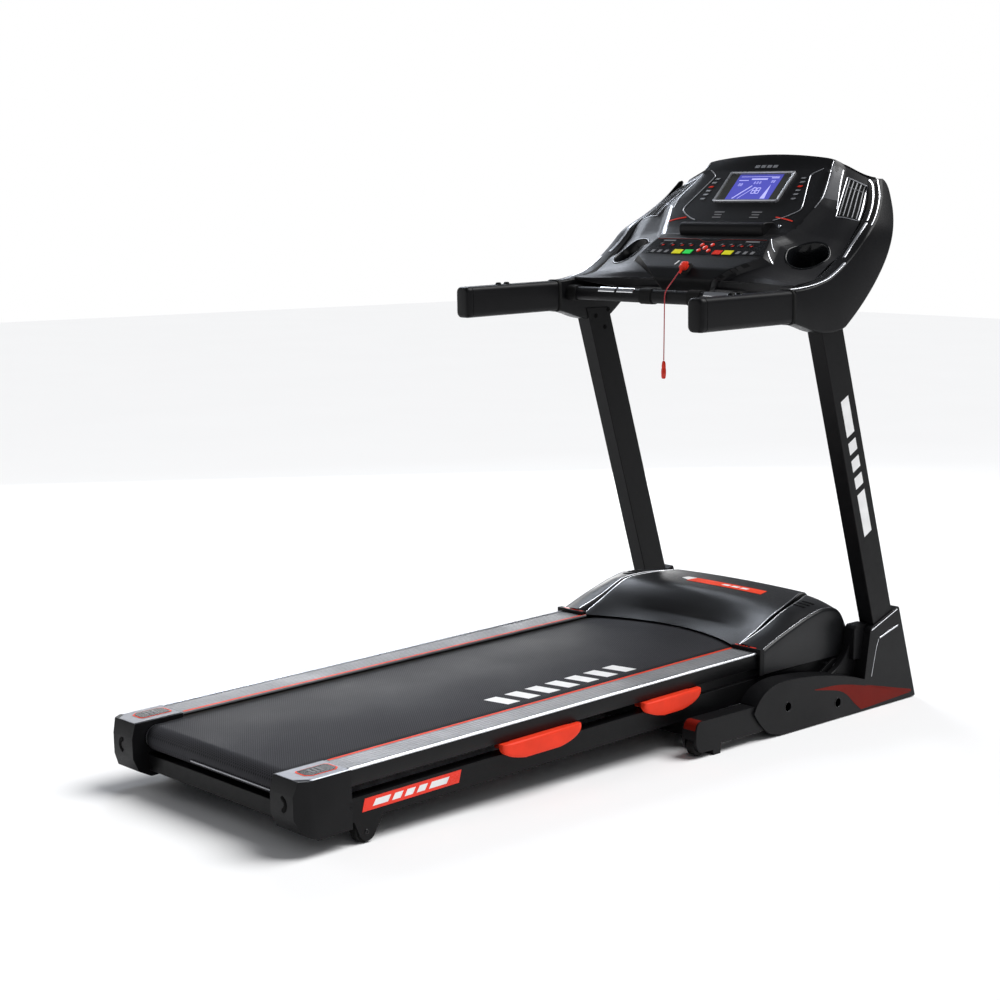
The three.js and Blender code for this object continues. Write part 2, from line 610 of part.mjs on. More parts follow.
const HOOD_BOTTOM = 126;
const HOOD_SIDE = 314;
function hoodOutline(kind) {
  const side = new THREE.Shape();
  side.moveTo(393, HOOD_BOTTOM);
  if (kind === 'centre') {
    side.lineTo(393, 178);
    side.quadraticCurveTo(500, 238, 596, 251);
    side.lineTo(668, 254);
    side.quadraticCurveTo(704, 254, 720, 212);
  } else {
    side.lineTo(393, 182);
    side.quadraticCurveTo(500, 232, 600, 245);
    side.quadraticCurveTo(664, 252, 684, 206);
    side.lineTo(714, 158);
  }
  side.lineTo(732, HOOD_BOTTOM);
  return side;
}

function hood() {
  const centre = outlineOf(hoodOutline('centre'), 8);
  const fender = outlineOf(hoodOutline('fender'), 8);
  const belowBottom = (points) => points.map(([y, z]) => [y, z < HOOD_BOTTOM + 10 ? z - 20 : z]);
  const split = 243;
  const narrow = 190;
  const fenderSolid = prismX(fender, narrow, HOOD_SIDE);
  const fenderVoid = prismX(belowBottom(inset(fender, WALL)), narrow - WALL, HOOD_SIDE - WALL);
  // The middle narrows towards the front, down to the shoulders' inner parts.
  const narrowed = (x, outline) => {
    const corner = new THREE.Shape();
    corner.moveTo(x, 548);
    corner.lineTo(x - split + narrow, 694);
    corner.lineTo(x - split + narrow, 760);
    corner.lineTo(x + 60, 760);
    corner.lineTo(x + 60, 548);
    const beyond = prismZ(corner, 80, 300, 1);
    return cut(prismX(outline, -x, x), beyond, mirrored(beyond));
  };
  const arch = new THREE.Shape();
  arch.moveTo(-228, 380);
  arch.lineTo(-228, 394);
  arch.quadraticCurveTo(0, 394 + 132, 228, 394);
  arch.lineTo(228, 380);
  return cut(
    join(narrowed(split, centre), fenderSolid, mirrored(fenderSolid)),
    narrowed(split - WALL, belowBottom(inset(centre, WALL))),
    fenderVoid, mirrored(fenderVoid),
    box(-split - 1, split + 1, 380, 500, 100, 178),
    box(-HOOD_SIDE + 10, HOOD_SIDE - 10, 380, 400, 100, 173),
    prismZ(arch, 100, 300, 10),
  );
}

add(treadmill, 'motor_hood', hood(), HOOD_PLASTIC);

const PAN = { from: 1386, to: 1580, side: 272, bottom: -62 };
function pan() {
  const { from, to, side, bottom } = PAN;
  return join(
    box(-side, side, from, to, bottom, bottom + WALL),
    box(-side, side, to - WALL, to, bottom, bottom + 26),
    box(-side, -side + WALL, from, to, bottom, bottom + 30),
    box(side - WALL, side, from, to, bottom, bottom + 30),
  );
}

add(deck, 'motor_pan', pan(), BLACK_PLASTIC);

// ---------------------------------------------------------------- console

const smooth = (a, b, x) => {
  const t = Math.min(Math.max((x - a) / (b - a), 0), 1);
  return t * t * (3 - 2 * t);
};
const CONSOLE_HALF = 330.7;
const CENTRE_HALF = 182;
const CROWN = 13;

// User-side profile, from under the lip up to the top edge: at the middle and at the arms.
const faceCentre = [
  [497, 944], [474, 950], [463, 985], [480, 1010], [517, 1037], [563, 1076], [598, 1084],
  [621, 1101], [684, 1164], [750, 1230.5], [776, 1257],
];
const faceSide = [
  [478, 974], [450, 972], [440, 979], [470, 986], [510, 1000], [548, 1022], [585, 1050],
  [622, 1084], [664, 1132], [704, 1190], [728, 1216],
];
const backCentre = [[782, 1252], [797, 1205], [778, 1120], [724, 1036], [654, 972], [574, 943], [499, 938]];
const backSide = [[737, 1209], [744, 1156], [736, 1093], [700, 1020], [640, 962], [560, 935], [473, 940]];

function polylineAt(points, t) {
  const place = t * (points.length - 1);
  const i = Math.min(Math.floor(place), points.length - 2);
  const f = place - i;
  return [0, 1].map((k) => points[i][k] * (1 - f) + points[i + 1][k] * f);
}

// The upper corners of the console lean back and inward. Points below them or near the middle stay put.
const SWEEP = { from: 190, low: 1090, climb: 0.5, soft: 15, inward: 0.6, back: 0.8 };

function swept(x, y, z) {
  const reach = Math.abs(x);
  const weight = Math.min(Math.max((reach - SWEEP.from) / (HALF_WIDTH - SWEEP.from), 0), 1) ** 0.6;
  const over = z - SWEEP.low - Math.max(HALF_WIDTH - reach, 0) * SWEEP.climb;
  const eased = (over + SWEEP.soft) ** 2 / (4 * SWEEP.soft);
  const rise = over < -SWEEP.soft ? 0 : over > SWEEP.soft ? over : eased;
  const shift = rise * weight;
  return v3(Math.sign(x) * (reach - SWEEP.inward * shift), y + SWEEP.back * shift, z);
}

// The middle profile carries over into the side profile, and the top edge is crowned by CROWN.
function consoleSurface(centre, side, u, v, nearTop) {
  const x = (u * 2 - 1) * CONSOLE_HALF;
  const blend = smooth(CENTRE_HALF - 20, CONSOLE_HALF + 20, Math.abs(x));
  const lift = Math.max(CROWN * (1 - (x / CENTRE_HALF) ** 2), 0) * smooth(0.9, 1, nearTop);
  const a = polylineAt(centre, v);
  const b = polylineAt(side, v);
  return swept(x, a[0] * (1 - blend) + b[0] * blend, a[1] * (1 - blend) + b[1] * blend + lift);
}

const cupAxis = v3(0.12, -0.4, 0.91).normalize();
const cupMouth = v3(CUP.x, CUP.y, CUP.z);
const alongCup = (distance) => cupMouth.clone().addScaledVector(cupAxis, distance);

function consoleUpper() {
  const face = shell((u, v) => consoleSurface(faceCentre, faceSide, u, v, v), 16, 20, WALL);
  const cupHole = rodBetween(CUP.radius, alongCup(-60), alongCup(80), 22);
  const ledge = new THREE.Shape();
  ledge.moveTo(592, 1078);
  ledge.lineTo(590, 1100);
  ledge.quadraticCurveTo(592, 1112, 606, 1112);
  ledge.lineTo(632, 1112);
  ledge.lineTo(618, 1094);
  ledge.lineTo(606, 1080);
  return cut(join(face, prismX(ledge, -128, 128)), cupHole, mirrored(cupHole));
}

add(treadmill, 'console_upper', consoleUpper(), BLACK_PLASTIC);
add(treadmill, 'console_back',
  shell((u, v) => consoleSurface(backCentre, backSide, u, v, 1 - v), 16, 12, WALL), BLACK_PLASTIC);

function cupLiner() {
  const outside = CUP.radius - GAP;
  const inside = CUP.radius - WALL;
  const profile = [[0, 0], [outside - 5, 0], [outside, 5], [outside, 130], [inside, 130], [inside, WALL],
    [0, WALL]];
  const tube = new THREE.LatheGeometry(profile.map(([r, a]) => v2(r, a)), 22);
  const turn = new THREE.Quaternion().setFromUnitVectors(v3(0, 1, 0), cupAxis);
  const foot = alongCup(-CUP.depth);
  tube.applyQuaternion(turn).translate(foot.x, foot.y, foot.z);
  const above = box(-90, 90, -90, 90, 0, 120);
  above.rotateX(0.69).rotateY(0.19).translate(CUP.x, CUP.y, CUP.z);
  return cut(tube, above);
}

addPair(treadmill, 'cup_liner', cupLiner(), BLACK_PLASTIC);

const lens = new THREE.Group();
lens.position.set(0, LENS_CENTRE.y, LENS_CENTRE.z);
lens.rotation.x = Math.PI / 4;
treadmill.add(lens);
add(lens, 'lcd_lens', prismZ(roundedRect(-98, 98, -49, 49, 5), 1.2, 4.2, 3), DISPLAY_GLASS);

const ARM_INNER = UPRIGHT_INNER + 3;
const ARM_STATIONS = 26;

function armFront() {
  const edge = new THREE.Path();
  edge.moveTo(COLLAR, 973);
  edge.quadraticCurveTo(460, 975, 520, 995);
  edge.quadraticCurveTo(600, 1026, 665, 1104);
  edge.quadraticCurveTo(694, 1130, 699, 1172);
  edge.lineTo(697, 1208);
  return edge;
}

function armBack() {
  const edge = new THREE.Path();
  edge.moveTo(COLLAR, 902);
  edge.lineTo(446, 890);
  edge.quadraticCurveTo(510, 866, 578, 885);
  edge.quadraticCurveTo(672, 954, 720, 1028);
  edge.quadraticCurveTo(764, 1100, 738, 1165);
  edge.quadraticCurveTo(726, 1206, 704, 1211);
  return edge;
}

// A channel, open towards the upright, that runs from the handrail up beside the console.
function armChannel() {
  const fronts = armFront().getSpacedPoints(ARM_STATIONS);
  const backs = armBack().getSpacedPoints(ARM_STATIONS);
  const points = fronts.flatMap((front, i) => {
    const width = front.distanceTo(backs[i]);
    const way = backs[i].clone().sub(front).normalize();
    const wall = HALF_WIDTH - WALL;
    const section = [[ARM_INNER, 0], [HALF_WIDTH, 0], [HALF_WIDTH, width], [ARM_INNER, width],
      [ARM_INNER, width - WALL], [wall, width - WALL], [wall, WALL], [ARM_INNER, WALL]];
    return section.map(([x, depth]) => swept(x, front.x + way.x * depth, front.y + way.y * depth));
  });
  const count = 8;
  const faces = [];
  const quad = (a, b, c, d) => faces.push(a, b, c, a, c, d);
  for (let i = 0; i < ARM_STATIONS; i += 1) {
    for (let j = 0; j < count; j += 1) {
      const next = (j + 1) % count;
      quad(i * count + j, i * count + next, (i + 1) * count + next, (i + 1) * count + j);
    }
  }
  const top = ARM_STATIONS * count;
  for (const [a, b, c, d] of [[0, 1, 6, 7], [1, 2, 5, 6], [2, 3, 4, 5]]) {
    quad(d, c, b, a);
    quad(top + a, top + b, top + c, top + d);
  }
  const geometry = new THREE.BufferGeometry();
  geometry.setAttribute('position', new THREE.Float32BufferAttribute(points.flatMap((p) => [...p]), 3));
  geometry.setIndex(faces);
  return geometry;
}

function armCover() {
  const room = 1;
  const at = (face, z) => [face + UPRIGHT_LEAN * z, z];
  const uprightRoom = prismX([
    at(UPRIGHT_REAR - room, 840), at(UPRIGHT_FRONT + room, 840),
    at(UPRIGHT_FRONT + room, 910), at(UPRIGHT_REAR - room, 910),
  ], ARM_INNER - 1, UPRIGHT_OUTER + GAP);
  const endWall = box(ARM_INNER, HALF_WIDTH, COLLAR, COLLAR + WALL, 902, 973);
  return cut(join(armChannel(), endWall), uprightRoom);
}

addPair(treadmill, 'arm_cover', armCover(), BLACK_PLASTIC);

// ---------------------------------------------------------------- handrails, buttons, pulse bar

const HANDRAIL = { x: 352, z: 937, halfWide: 21, halfTall: 35.5, length: 300, radius: 13 };
const BUTTON = { radius: 6.5, spots: [-158, -184], top: 5 };

function handrailTube() {
  const { halfWide, halfTall, length, radius } = HANDRAIL;
  const outer = roundedRect(-halfWide, halfWide, -halfTall, halfTall, radius);
  const inner = roundedRect(-halfWide + WALL, halfWide - WALL, -halfTall + WALL, halfTall - WALL,
    radius - WALL);
  const holes = BUTTON.spots.map((y) => {
    const hole = new THREE.CylinderGeometry(BUTTON.radius + GAP, BUTTON.radius + GAP, 12, 16);
    return hole.rotateX(Math.PI / 2).translate(0, y, halfTall);
  });
  return cut(prismY(outer, -length, -COLLAR_GAP, 4), prismY(inner, WALL - length, 5, 3), ...holes);
}

function handButton(y) {
  const { radius, top } = BUTTON;
  const profile = [[0, -6], [radius, -6], [radius, top - 2], [radius - 2, top], [0, top]];
  const geometry = new THREE.LatheGeometry(profile.map(([r, a]) => v2(r, a)), 14);
  return geometry.rotateX(Math.PI / 2).translate(0, y, HANDRAIL.halfTall);
}

for (const [side, sign] of [['right', 1], ['left', -1]]) {
  const rail = new THREE.Group();
  rail.position.set(sign * HANDRAIL.x, COLLAR, HANDRAIL.z);
  rail.rotation.x = HANDRAIL_TILT;
  treadmill.add(rail);
  add(rail, `handrail_${side}`, handrailTube(), BLACK_PLASTIC);
  add(rail, `button_plus_${side}`, handButton(BUTTON.spots[0]), SOFT_RUBBER);
  add(rail, `button_minus_${side}`, handButton(BUTTON.spots[1]), SOFT_RUBBER);
}

const barReach = UPRIGHT_INNER - GAP;
add(treadmill, 'pulse_bar',
  prismX(roundedRect(421, 451, 928, 960, 12), -barReach, barReach, 3), PAINTED_STEEL);

// ---------------------------------------------------------------- safety key and tether

const key = new THREE.Group();
key.position.set(0, 474, 1008);
key.rotation.x = Math.PI / 4;
treadmill.add(key);
add(key, 'safety_key', join(
  prismZ(roundedRect(-8, 8, -11, 11, 5), 3.2, 12, 3),
  prismZ(roundedRect(-11, 11, -14, 14, 6), 10, 15, 3),
), RED_ELASTOMER);

// The tether hangs from the key, over the lip and past the pulse bar, to its clip.
const TETHER_ROUTE = [
  [0, 454.9, 1006.5], [-2, 449, 999], [-5, 441, 987.5], [-9, 433, 976], [-12, 425, 965.5],
  [-14, 420, 956], [-15, 418.5, 945], [-15, 418.3, 930], [-15, 418.3, 900], [-15, 418.3, 865],
  [-15, 418.3, 830], [-15, 418.3, 800.3],
];

function tether() {
  const path = new THREE.CatmullRomCurve3(TETHER_ROUTE.map(([x, y, z]) => v3(x, y, z)), false, 'centripetal');
  const section = new THREE.Shape();
  section.absarc(0, 0, TETHER_RADIUS, 0, Math.PI * 2);
  return new THREE.ExtrudeGeometry(section, { steps: 32, curveSegments: 4, extrudePath: path });
}

add(treadmill, 'tether_cord', tether(), RED_ELASTOMER);
add(treadmill, 'tether_clip',
  prismY(roundedRect(-21, -9, 758, 800, 5), 414, 422.6, 3), RED_ELASTOMER);

export default treadmill;
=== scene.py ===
import json
import math

import bmesh
import bpy
from mathutils import Matrix, Vector
from mathutils.bvhtree import BVHTree

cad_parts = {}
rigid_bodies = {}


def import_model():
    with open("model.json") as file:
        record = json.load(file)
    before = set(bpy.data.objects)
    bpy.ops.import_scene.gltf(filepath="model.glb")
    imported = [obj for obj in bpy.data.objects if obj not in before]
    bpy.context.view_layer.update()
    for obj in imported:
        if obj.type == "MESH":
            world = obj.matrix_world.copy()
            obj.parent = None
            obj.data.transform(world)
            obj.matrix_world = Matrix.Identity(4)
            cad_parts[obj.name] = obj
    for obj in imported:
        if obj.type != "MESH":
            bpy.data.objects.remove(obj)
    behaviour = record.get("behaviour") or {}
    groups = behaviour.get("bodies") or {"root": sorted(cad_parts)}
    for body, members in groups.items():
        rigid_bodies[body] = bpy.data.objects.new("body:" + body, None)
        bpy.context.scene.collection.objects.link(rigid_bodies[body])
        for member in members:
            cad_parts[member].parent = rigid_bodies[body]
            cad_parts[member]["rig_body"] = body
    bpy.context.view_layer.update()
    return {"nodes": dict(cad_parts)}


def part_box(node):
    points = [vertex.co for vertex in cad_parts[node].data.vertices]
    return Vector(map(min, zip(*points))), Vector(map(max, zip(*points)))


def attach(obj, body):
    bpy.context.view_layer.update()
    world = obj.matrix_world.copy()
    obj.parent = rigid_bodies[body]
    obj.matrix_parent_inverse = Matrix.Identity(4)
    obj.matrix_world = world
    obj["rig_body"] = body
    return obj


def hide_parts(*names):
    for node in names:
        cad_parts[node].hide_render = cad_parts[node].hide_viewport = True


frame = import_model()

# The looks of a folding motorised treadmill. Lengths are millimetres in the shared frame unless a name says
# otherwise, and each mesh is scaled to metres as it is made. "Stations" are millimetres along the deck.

MM = 0.001
nodes = frame["nodes"]
SIDES = (("right", 1), ("left", -1))

# ---------------------------------------------------------------- camera


def make_camera():
    data = bpy.data.cameras.new("camera")
    data.sensor_width = 36
    data.lens = 69.173
    camera = bpy.data.objects.new("camera", data)
    bpy.context.scene.collection.objects.link(camera)
    azimuth = math.radians(46.803)
    elevation = math.radians(8.826)
    ahead = Vector((
        -math.sin(azimuth) * math.cos(elevation),
        math.cos(azimuth) * math.cos(elevation),
        -math.sin(elevation),
    ))
    camera.location = (2.9337, -2.8648, 1.1594)
    camera.rotation_mode = "QUATERNION"
    camera.rotation_quaternion = ahead.to_track_quat("-Z", "Y")
    bpy.context.scene.camera = camera


make_camera()

# ---------------------------------------------------------------- places

DECK_SLOPE = math.atan(0.024)
DECK = Matrix.Translation((0, -875, 145)) @ Matrix.Rotation(DECK_SLOPE, 4, "X")
LENS = Matrix.Translation((0, 712, 1192.6)) @ Matrix.Rotation(math.pi / 4, 4, "X")
KEY = Matrix.Translation((0, 474, 1008)) @ Matrix.Rotation(math.pi / 4, 4, "X")
HANDRAIL_TILT = 0.0216
HANDRAIL_X = 352
COLLAR = 400
UP = Vector((0, 0, 1))
FACE_OUT = Vector((0, -1, 1)).normalized()      # away from the console face, towards the user
UPRIGHT_LEAN = -0.325


def low(node):
    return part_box(node)[0] / MM


def high(node):
    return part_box(node)[1] / MM


HALF_WIDTH = high("base_cover_right").x
SIDE_TUBE = high("deck_rail_right").x           # outer face of the deck's side tubes
BELT_HALF = high("running_belt").x
ARM_INNER = low("upright_right").x + 3
CONSOLE_HALF = high("console_upper").x

# ---------------------------------------------------------------- materials


def socket_set(node, **values):
    for name, value in values.items():
        node.inputs[name.replace("_", " ")].default_value = value


class Finish:
    """A node material on Principled BSDF, with the texture nodes that the surfaces below share."""

    def __init__(self, name, **constants):
        self.material = bpy.data.materials.new(name)
        self.material.use_nodes = True
        self.tree = self.material.node_tree
        self.shader = self.tree.nodes["Principled BSDF"]
        socket_set(self.shader, **constants)
        self.place = self.tree.nodes.new("ShaderNodeTexCoord").outputs["Object"]

    def node(self, kind, **values):
        made = self.tree.nodes.new(kind)
        for name, value in values.items():
            if name in made.inputs:
                made.inputs[name].default_value = value
            else:
                setattr(made, name, value)
        return made

    def link(self, output, node, name):
        self.tree.links.new(output, node.inputs[name])

    def stretched(self, scale, turn=(0, 0, 0)):
        mapping = self.node("ShaderNodeMapping")
        mapping.inputs["Scale"].default_value = scale
        mapping.inputs["Rotation"].default_value = turn
        self.link(self.place, mapping, "Vector")
        return mapping.outputs["Vector"]

    def noise(self, scale, detail=3.0, place=None):
        made = self.node("ShaderNodeTexNoise", Scale=scale, Detail=detail)
        self.link(place or self.place, made, "Vector")
        return made.outputs["Fac"]

    def ranged(self, value, low, high, from_low=0.3, from_high=0.7):
        made = self.tree.nodes.new("ShaderNodeMapRange")
        for name, number in zip(("From Min", "From Max", "To Min", "To Max"),
                                (from_low, from_high, low, high)):
            made.inputs[name].default_value = number
        self.link(value, made, "Value")
        return made.outputs["Result"]

    def mixed(self, factor, first, second):
        made = self.tree.nodes.new("ShaderNodeMix")
        made.data_type = "RGBA"
        colours = [s for s in made.inputs if s.type == "RGBA"]
        colours[0].default_value = (*first, 1)
        colours[1].default_value = (*second, 1)
        self.link(factor, made, "Factor")
        return next(s for s in made.outputs if s.type == "RGBA")

    def math(self, operation, first, second):
        made = self.node("ShaderNodeMath", operation=operation)
        for index, value in enumerate((first, second)):
            if isinstance(value, (int, float)):
                made.inputs[index].default_value = value
            else:
                self.tree.links.new(value, made.inputs[index])
        return made.outputs["Value"]

    def bump(self, height, depth_mm, strength=1.0):
        made = self.node("ShaderNodeBump", Strength=strength, Distance=depth_mm * MM)
        self.link(height, made, "Height")
        self.link(made.outputs["Normal"], self.shader, "Normal")

    def colour(self, output):
        self.link(output, self.shader, "Base Color")

    def roughness(self, output):
        self.link(output, self.shader, "Roughness")


def shade(colour, factor):
    return tuple(min(c * factor, 1) for c in colour)


def moulded(name, colour, roughness, grain=1400, grain_depth=0.05, **constants):
    """Moulded plastic or rubber: a fine spark-eroded grain, and handling marks that vary its gloss."""
    constants.setdefault("Specular_IOR_Level", 0.16)
    finish = Finish(name, **constants)
    finish.colour(finish.mixed(finish.noise(22), shade(colour, 0.82), shade(colour, 1.2)))
    cloudy = finish.ranged(finish.noise(9), roughness - 0.05, roughness + 0.07)
    scuffed = finish.ranged(finish.noise(160, 5, finish.stretched((1, 1, 4))), -0.04, 0.05)
    finish.roughness(finish.math("ADD", cloudy, scuffed))
    finish.bump(finish.noise(grain, 2), grain_depth)
    return finish.material


def powder_coat(name, colour, roughness, **constants):
    """Powder-coated steel: a soft orange peel with a little speckle."""
    constants.setdefault("Specular_IOR_Level", 0.14)
    finish = Finish(name, **constants)
    speckle = finish.ranged(finish.noise(900, 2), 0, 1, 0.45, 0.62)
    finish.colour(finish.mixed(speckle, shade(colour, 0.85), shade(colour, 1.45)))
    finish.roughness(finish.ranged(finish.noise(60), roughness - 0.05, roughness + 0.06))
    finish.bump(finish.noise(420, 1), 0.06)
    return finish.material


def brushed(name, colour, roughness, along=(1, 0.03, 1), lines=900, **constants):
    """Brushed or drawn metal, with its lines across the axis that is not stretched."""
    finish = Finish(name, Metallic=1.0, Anisotropic=0.4, **constants)
    lines_noise = finish.noise(lines, 3, finish.stretched(along))
    finish.colour(finish.mixed(lines_noise, shade(colour, 0.78), shade(colour, 1.12)))
    finish.roughness(finish.ranged(lines_noise, roughness - 0.07, roughness + 0.1))
    finish.bump(lines_noise, 0.02)
    return finish.material


def belt_weave(name):
    """Running belt: a fine embossed diamond tread, its tone and gloss varying in broad random patches, with
    plain dark borders.
    """
    finish = Finish(name, Specular_IOR_Level=0.15)
    waves = []
    for turn in (0.62, -0.62):
        wave = finish.node("ShaderNodeTexWave", wave_type="BANDS", bands_direction="Y", Scale=78,
                           Distortion=0.4)
        wave.inputs["Detail"].default_value = 1
        wave.inputs["Detail Scale"].default_value = 0.25
        finish.link(finish.stretched((1, 1, 1), (0, 0, turn)), wave, "Vector")
        waves.append(wave.outputs["Fac"])
    tread = finish.math("MAXIMUM", *waves)
    patches = finish.noise(5, 4)
    axes = finish.node("ShaderNodeSeparateXYZ")
    finish.link(finish.place, axes, "Vector")
    reach = finish.math("ABSOLUTE", axes.outputs["X"], 0)
    inside = finish.ranged(reach, 1, 0.1, 0.196, 0.21)
    # Broad random patches make the tread lighter and darker, and change its gloss.
    toned = finish.math("MULTIPLY", finish.math("MULTIPLY", tread, finish.ranged(patches, 0.75, 1.1)), inside)
    finish.colour(finish.mixed(toned, (0.006, 0.006, 0.007), (0.042, 0.042, 0.048)))
    finish.roughness(finish.ranged(patches, 0.56, 0.7))
    finish.bump(tread, 0.3, 0.7)
    return finish.material


def fibreboard(name):
    finish = Finish(name, Coat_Weight=0.2)
    grain = finish.noise(130, 6, finish.stretched((1, 0.15, 1)))
    finish.colour(finish.mixed(grain, (0.02, 0.017, 0.014), (0.009, 0.008, 0.007)))
    finish.roughness(finish.ranged(grain, 0.45, 0.7))
    finish.bump(grain, 0.1)
    return finish.material


def braided(name, colour):
    """Woven cord: two crossing spirals of thread."""
    finish = Finish(name, Sheen_Weight=0.4)
    waves = []
    for turn in (0.8, -0.8):
        wave = finish.node("ShaderNodeTexWave", wave_type="BANDS", bands_direction="Z", Scale=240,
                           Distortion=0.2)
        finish.link(finish.stretched((1, 1, 1), (turn, 0, turn)), wave, "Vector")
        waves.append(wave.outputs["Fac"])
    threads = finish.math("MAXIMUM", *waves)
    finish.colour(finish.mixed(threads, shade(colour, 0.5), colour))
    finish.roughness(finish.ranged(threads, 0.75, 0.6, 0, 1))
    finish.bump(threads, 0.15)
    return finish.material


def lit_display(name, dark, bright, strength):
    """A backlit segment display: faint pixel rows over an even glow."""
    finish = Finish(name, Roughness=0.2, Emission_Strength=strength)
    rows = finish.node("ShaderNodeTexWave", wave_type="BANDS", bands_direction="X", Scale=150)
    finish.link(finish.place, rows, "Vector")
    tone = finish.mixed(finish.math("MULTIPLY", rows.outputs["Fac"], finish.noise(14)), dark, bright)
    finish.colour(tone)
    finish.link(tone, finish.shader, "Emission Color")
    return finish.material


BLACK = (0.0055, 0.0055, 0.0062)
SILVER = (0.62, 0.63, 0.66)
RED = (0.83, 0.035, 0.015)
ORANGE = (0.8, 0.055, 0.018)

LOOKS = {
    "painted_steel": powder_coat("powder_coat_black", (0.0045, 0.0045, 0.005), 0.38),
    "bare_steel": brushed("zinc_steel", (0.5, 0.51, 0.53), 0.3),
    "black_plastic": moulded("black_plastic", BLACK, 0.4),
    "satin_wing": moulded("satin_wing", (0.012, 0.012, 0.0135), 0.44, grain=900, grain_depth=0.09,
                          Specular_IOR_Level=0.34),
    "gloss_panel": moulded("gloss_panel", (0.0055, 0.006, 0.007), 0.22, grain_depth=0.012, Coat_Weight=0.15),
    "hood_plastic": moulded("hood_plastic", (0.011, 0.0113, 0.0125), 0.36, Coat_Weight=0.08,
                            Coat_Roughness=0.3,
                            Specular_IOR_Level=0.26),
    "grey_facet": moulded("grey_facet", (0.07, 0.072, 0.08), 0.42, grain=900, Specular_IOR_Level=0.4),
    "soft_rubber": moulded("soft_rubber", (0.009, 0.009, 0.009), 0.7, grain=600, grain_depth=0.12),
    "belt": belt_weave("belt_tread"),
    "rail": moulded("rail_aluminium", (0.2, 0.203, 0.212), 0.42, grain_depth=0.006, Metallic=0.55),
    "cap_plate": moulded("cap_plate", (0.24, 0.245, 0.27), 0.38, grain_depth=0.006, Metallic=0.4),
    # Silver: the colour of real trims, and also painted highlight on strips laid along rounded edges that
    # catch the light.
    "silver": moulded("silver_trim", SILVER, 0.3, grain_depth=0.004, Metallic=0.85),
    "steel_grey": moulded("grey_trim", (0.16, 0.163, 0.17), 0.42, grain_depth=0.01, Metallic=0.5),
    "chrome": brushed("chrome_plate", (0.75, 0.76, 0.78), 0.1, along=(0.05, 1, 1), lines=300),
    "elastomer": moulded("red_elastomer", (0.86, 0.045, 0.016), 0.42, grain=500, Subsurface_Weight=0.06),
    "red_gloss": moulded("red_plastic", RED, 0.28, grain_depth=0.01, Coat_Weight=0.3),
    "dark_red": moulded("dark_red_decal", (0.15, 0.008, 0.004), 0.5, grain_depth=0.01,
                        Specular_IOR_Level=0.1),
    "orange_line": moulded("orange_decal", ORANGE, 0.5, grain_depth=0.01, Specular_IOR_Level=0.1),
    "white_mark": moulded("white_decal", (0.85, 0.85, 0.85), 0.5, grain_depth=0.01, Specular_IOR_Level=0.1),
    "grey_mark": moulded("grey_print", (0.2, 0.2, 0.21), 0.5, grain_depth=0.01, Specular_IOR_Level=0.1),
    "yellow_key": moulded("yellow_key", (0.95, 0.84, 0.01), 0.35, grain_depth=0.01),
    "green_key": moulded("green_key", (0.02, 0.8, 0.1), 0.35, grain_depth=0.01),
    "board": fibreboard("waxed_fibreboard"),
    "cord": braided("tether_braid", (0.62, 0.02, 0.03)),
    "screen": lit_display("blue_display", (0.07, 0.075, 0.42), (0.1, 0.1, 0.55), 0.55),
    "segments": lit_display("pale_segments", (0.42, 0.42, 0.85), (0.6, 0.6, 0.95), 0.6),
    "screen_margin": moulded("screen_margin", (0.055, 0.056, 0.052), 0.22, grain_depth=0.005),
    # Near-black, used both as the colour of bolt and screw heads and as painted shade: sheets and strips laid
    # where grooves, vents, the grille's well and the end cap's slot hold only shade.
    "black_and_painted_shade": moulded("deep_black", (0.002, 0.002, 0.002), 0.8, grain_depth=0.02),
}

# ---------------------------------------------------------------- outlines


def curve(start, *steps, pieces=10):
    """Points from start on. A step is a line's end, or a pair: a quadratic curve's control and end."""
    points = [start]
    for step in steps:
        if not isinstance(step[0], tuple):
            points.append(step)
            continue
        begin, control, end = points[-1], *step
        for k in range(1, pieces + 1):
            t = k / pieces
            points.append(tuple(
                (1 - t) ** 2 * a + 2 * t * (1 - t) * c + t * t * b for a, c, b in zip(begin, control, end)
            ))
    return points


def rounded_box(half_a, half_b, radius, pieces=6):
    points = []
    for quarter in range(4):
        centre_a = (half_a - radius) * (1 if quarter in (0, 3) else -1)
        centre_b = (half_b - radius) * (1 if quarter in (0, 1) else -1)
        for k in range(pieces + 1):
            angle = math.pi / 2 * (quarter + k / pieces)
            points.append((centre_a + radius * math.cos(angle), centre_b + radius * math.sin(angle)))
    return points


def spline(points, pieces=6):
    """Catmull-Rom points through all of the given ones."""
    points = [Vector(p) for p in points]
    ends = [points[0] * 2 - points[1], *points, points[-1] * 2 - points[-2]]
    made = []
    for a, b, c, d in zip(ends, ends[1:], ends[2:], ends[3:]):
        for k in range(pieces):
            t = k / pieces
            made.append(0.5 * (2 * b + (c - a) * t + (2 * a - 5 * b + 4 * c - d) * t * t
                               + (3 * b - a - 3 * c + d) * t ** 3))
    return made + [points[-1]]


def smooth(low_edge, high_edge, x):
    t = min(max((x - low_edge) / (high_edge - low_edge), 0), 1)
    return t * t * (3 - 2 * t)


# ---------------------------------------------------------------- meshes as (points, faces)


def loft(rings, capped=True):
    """A skin over closed rings of equal count, with a face over each end."""
    count = len(rings[0])
    points = [Vector(p) for ring in rings for p in ring]
    faces = []
    for row in range(len(rings) - 1):
        a, b = row * count, (row + 1) * count
        for k in range(count):
            n = (k + 1) % count
            faces.append((a + k, a + n, b + n, b + k))
    if capped:
        faces.append(tuple(reversed(range(count))))
        faces.append(tuple((len(rings) - 1) * count + k for k in range(count)))
    return points, faces


AXES = {"X": (1, 2, 0), "Y": (0, 2, 1), "Z": (0, 1, 2)}


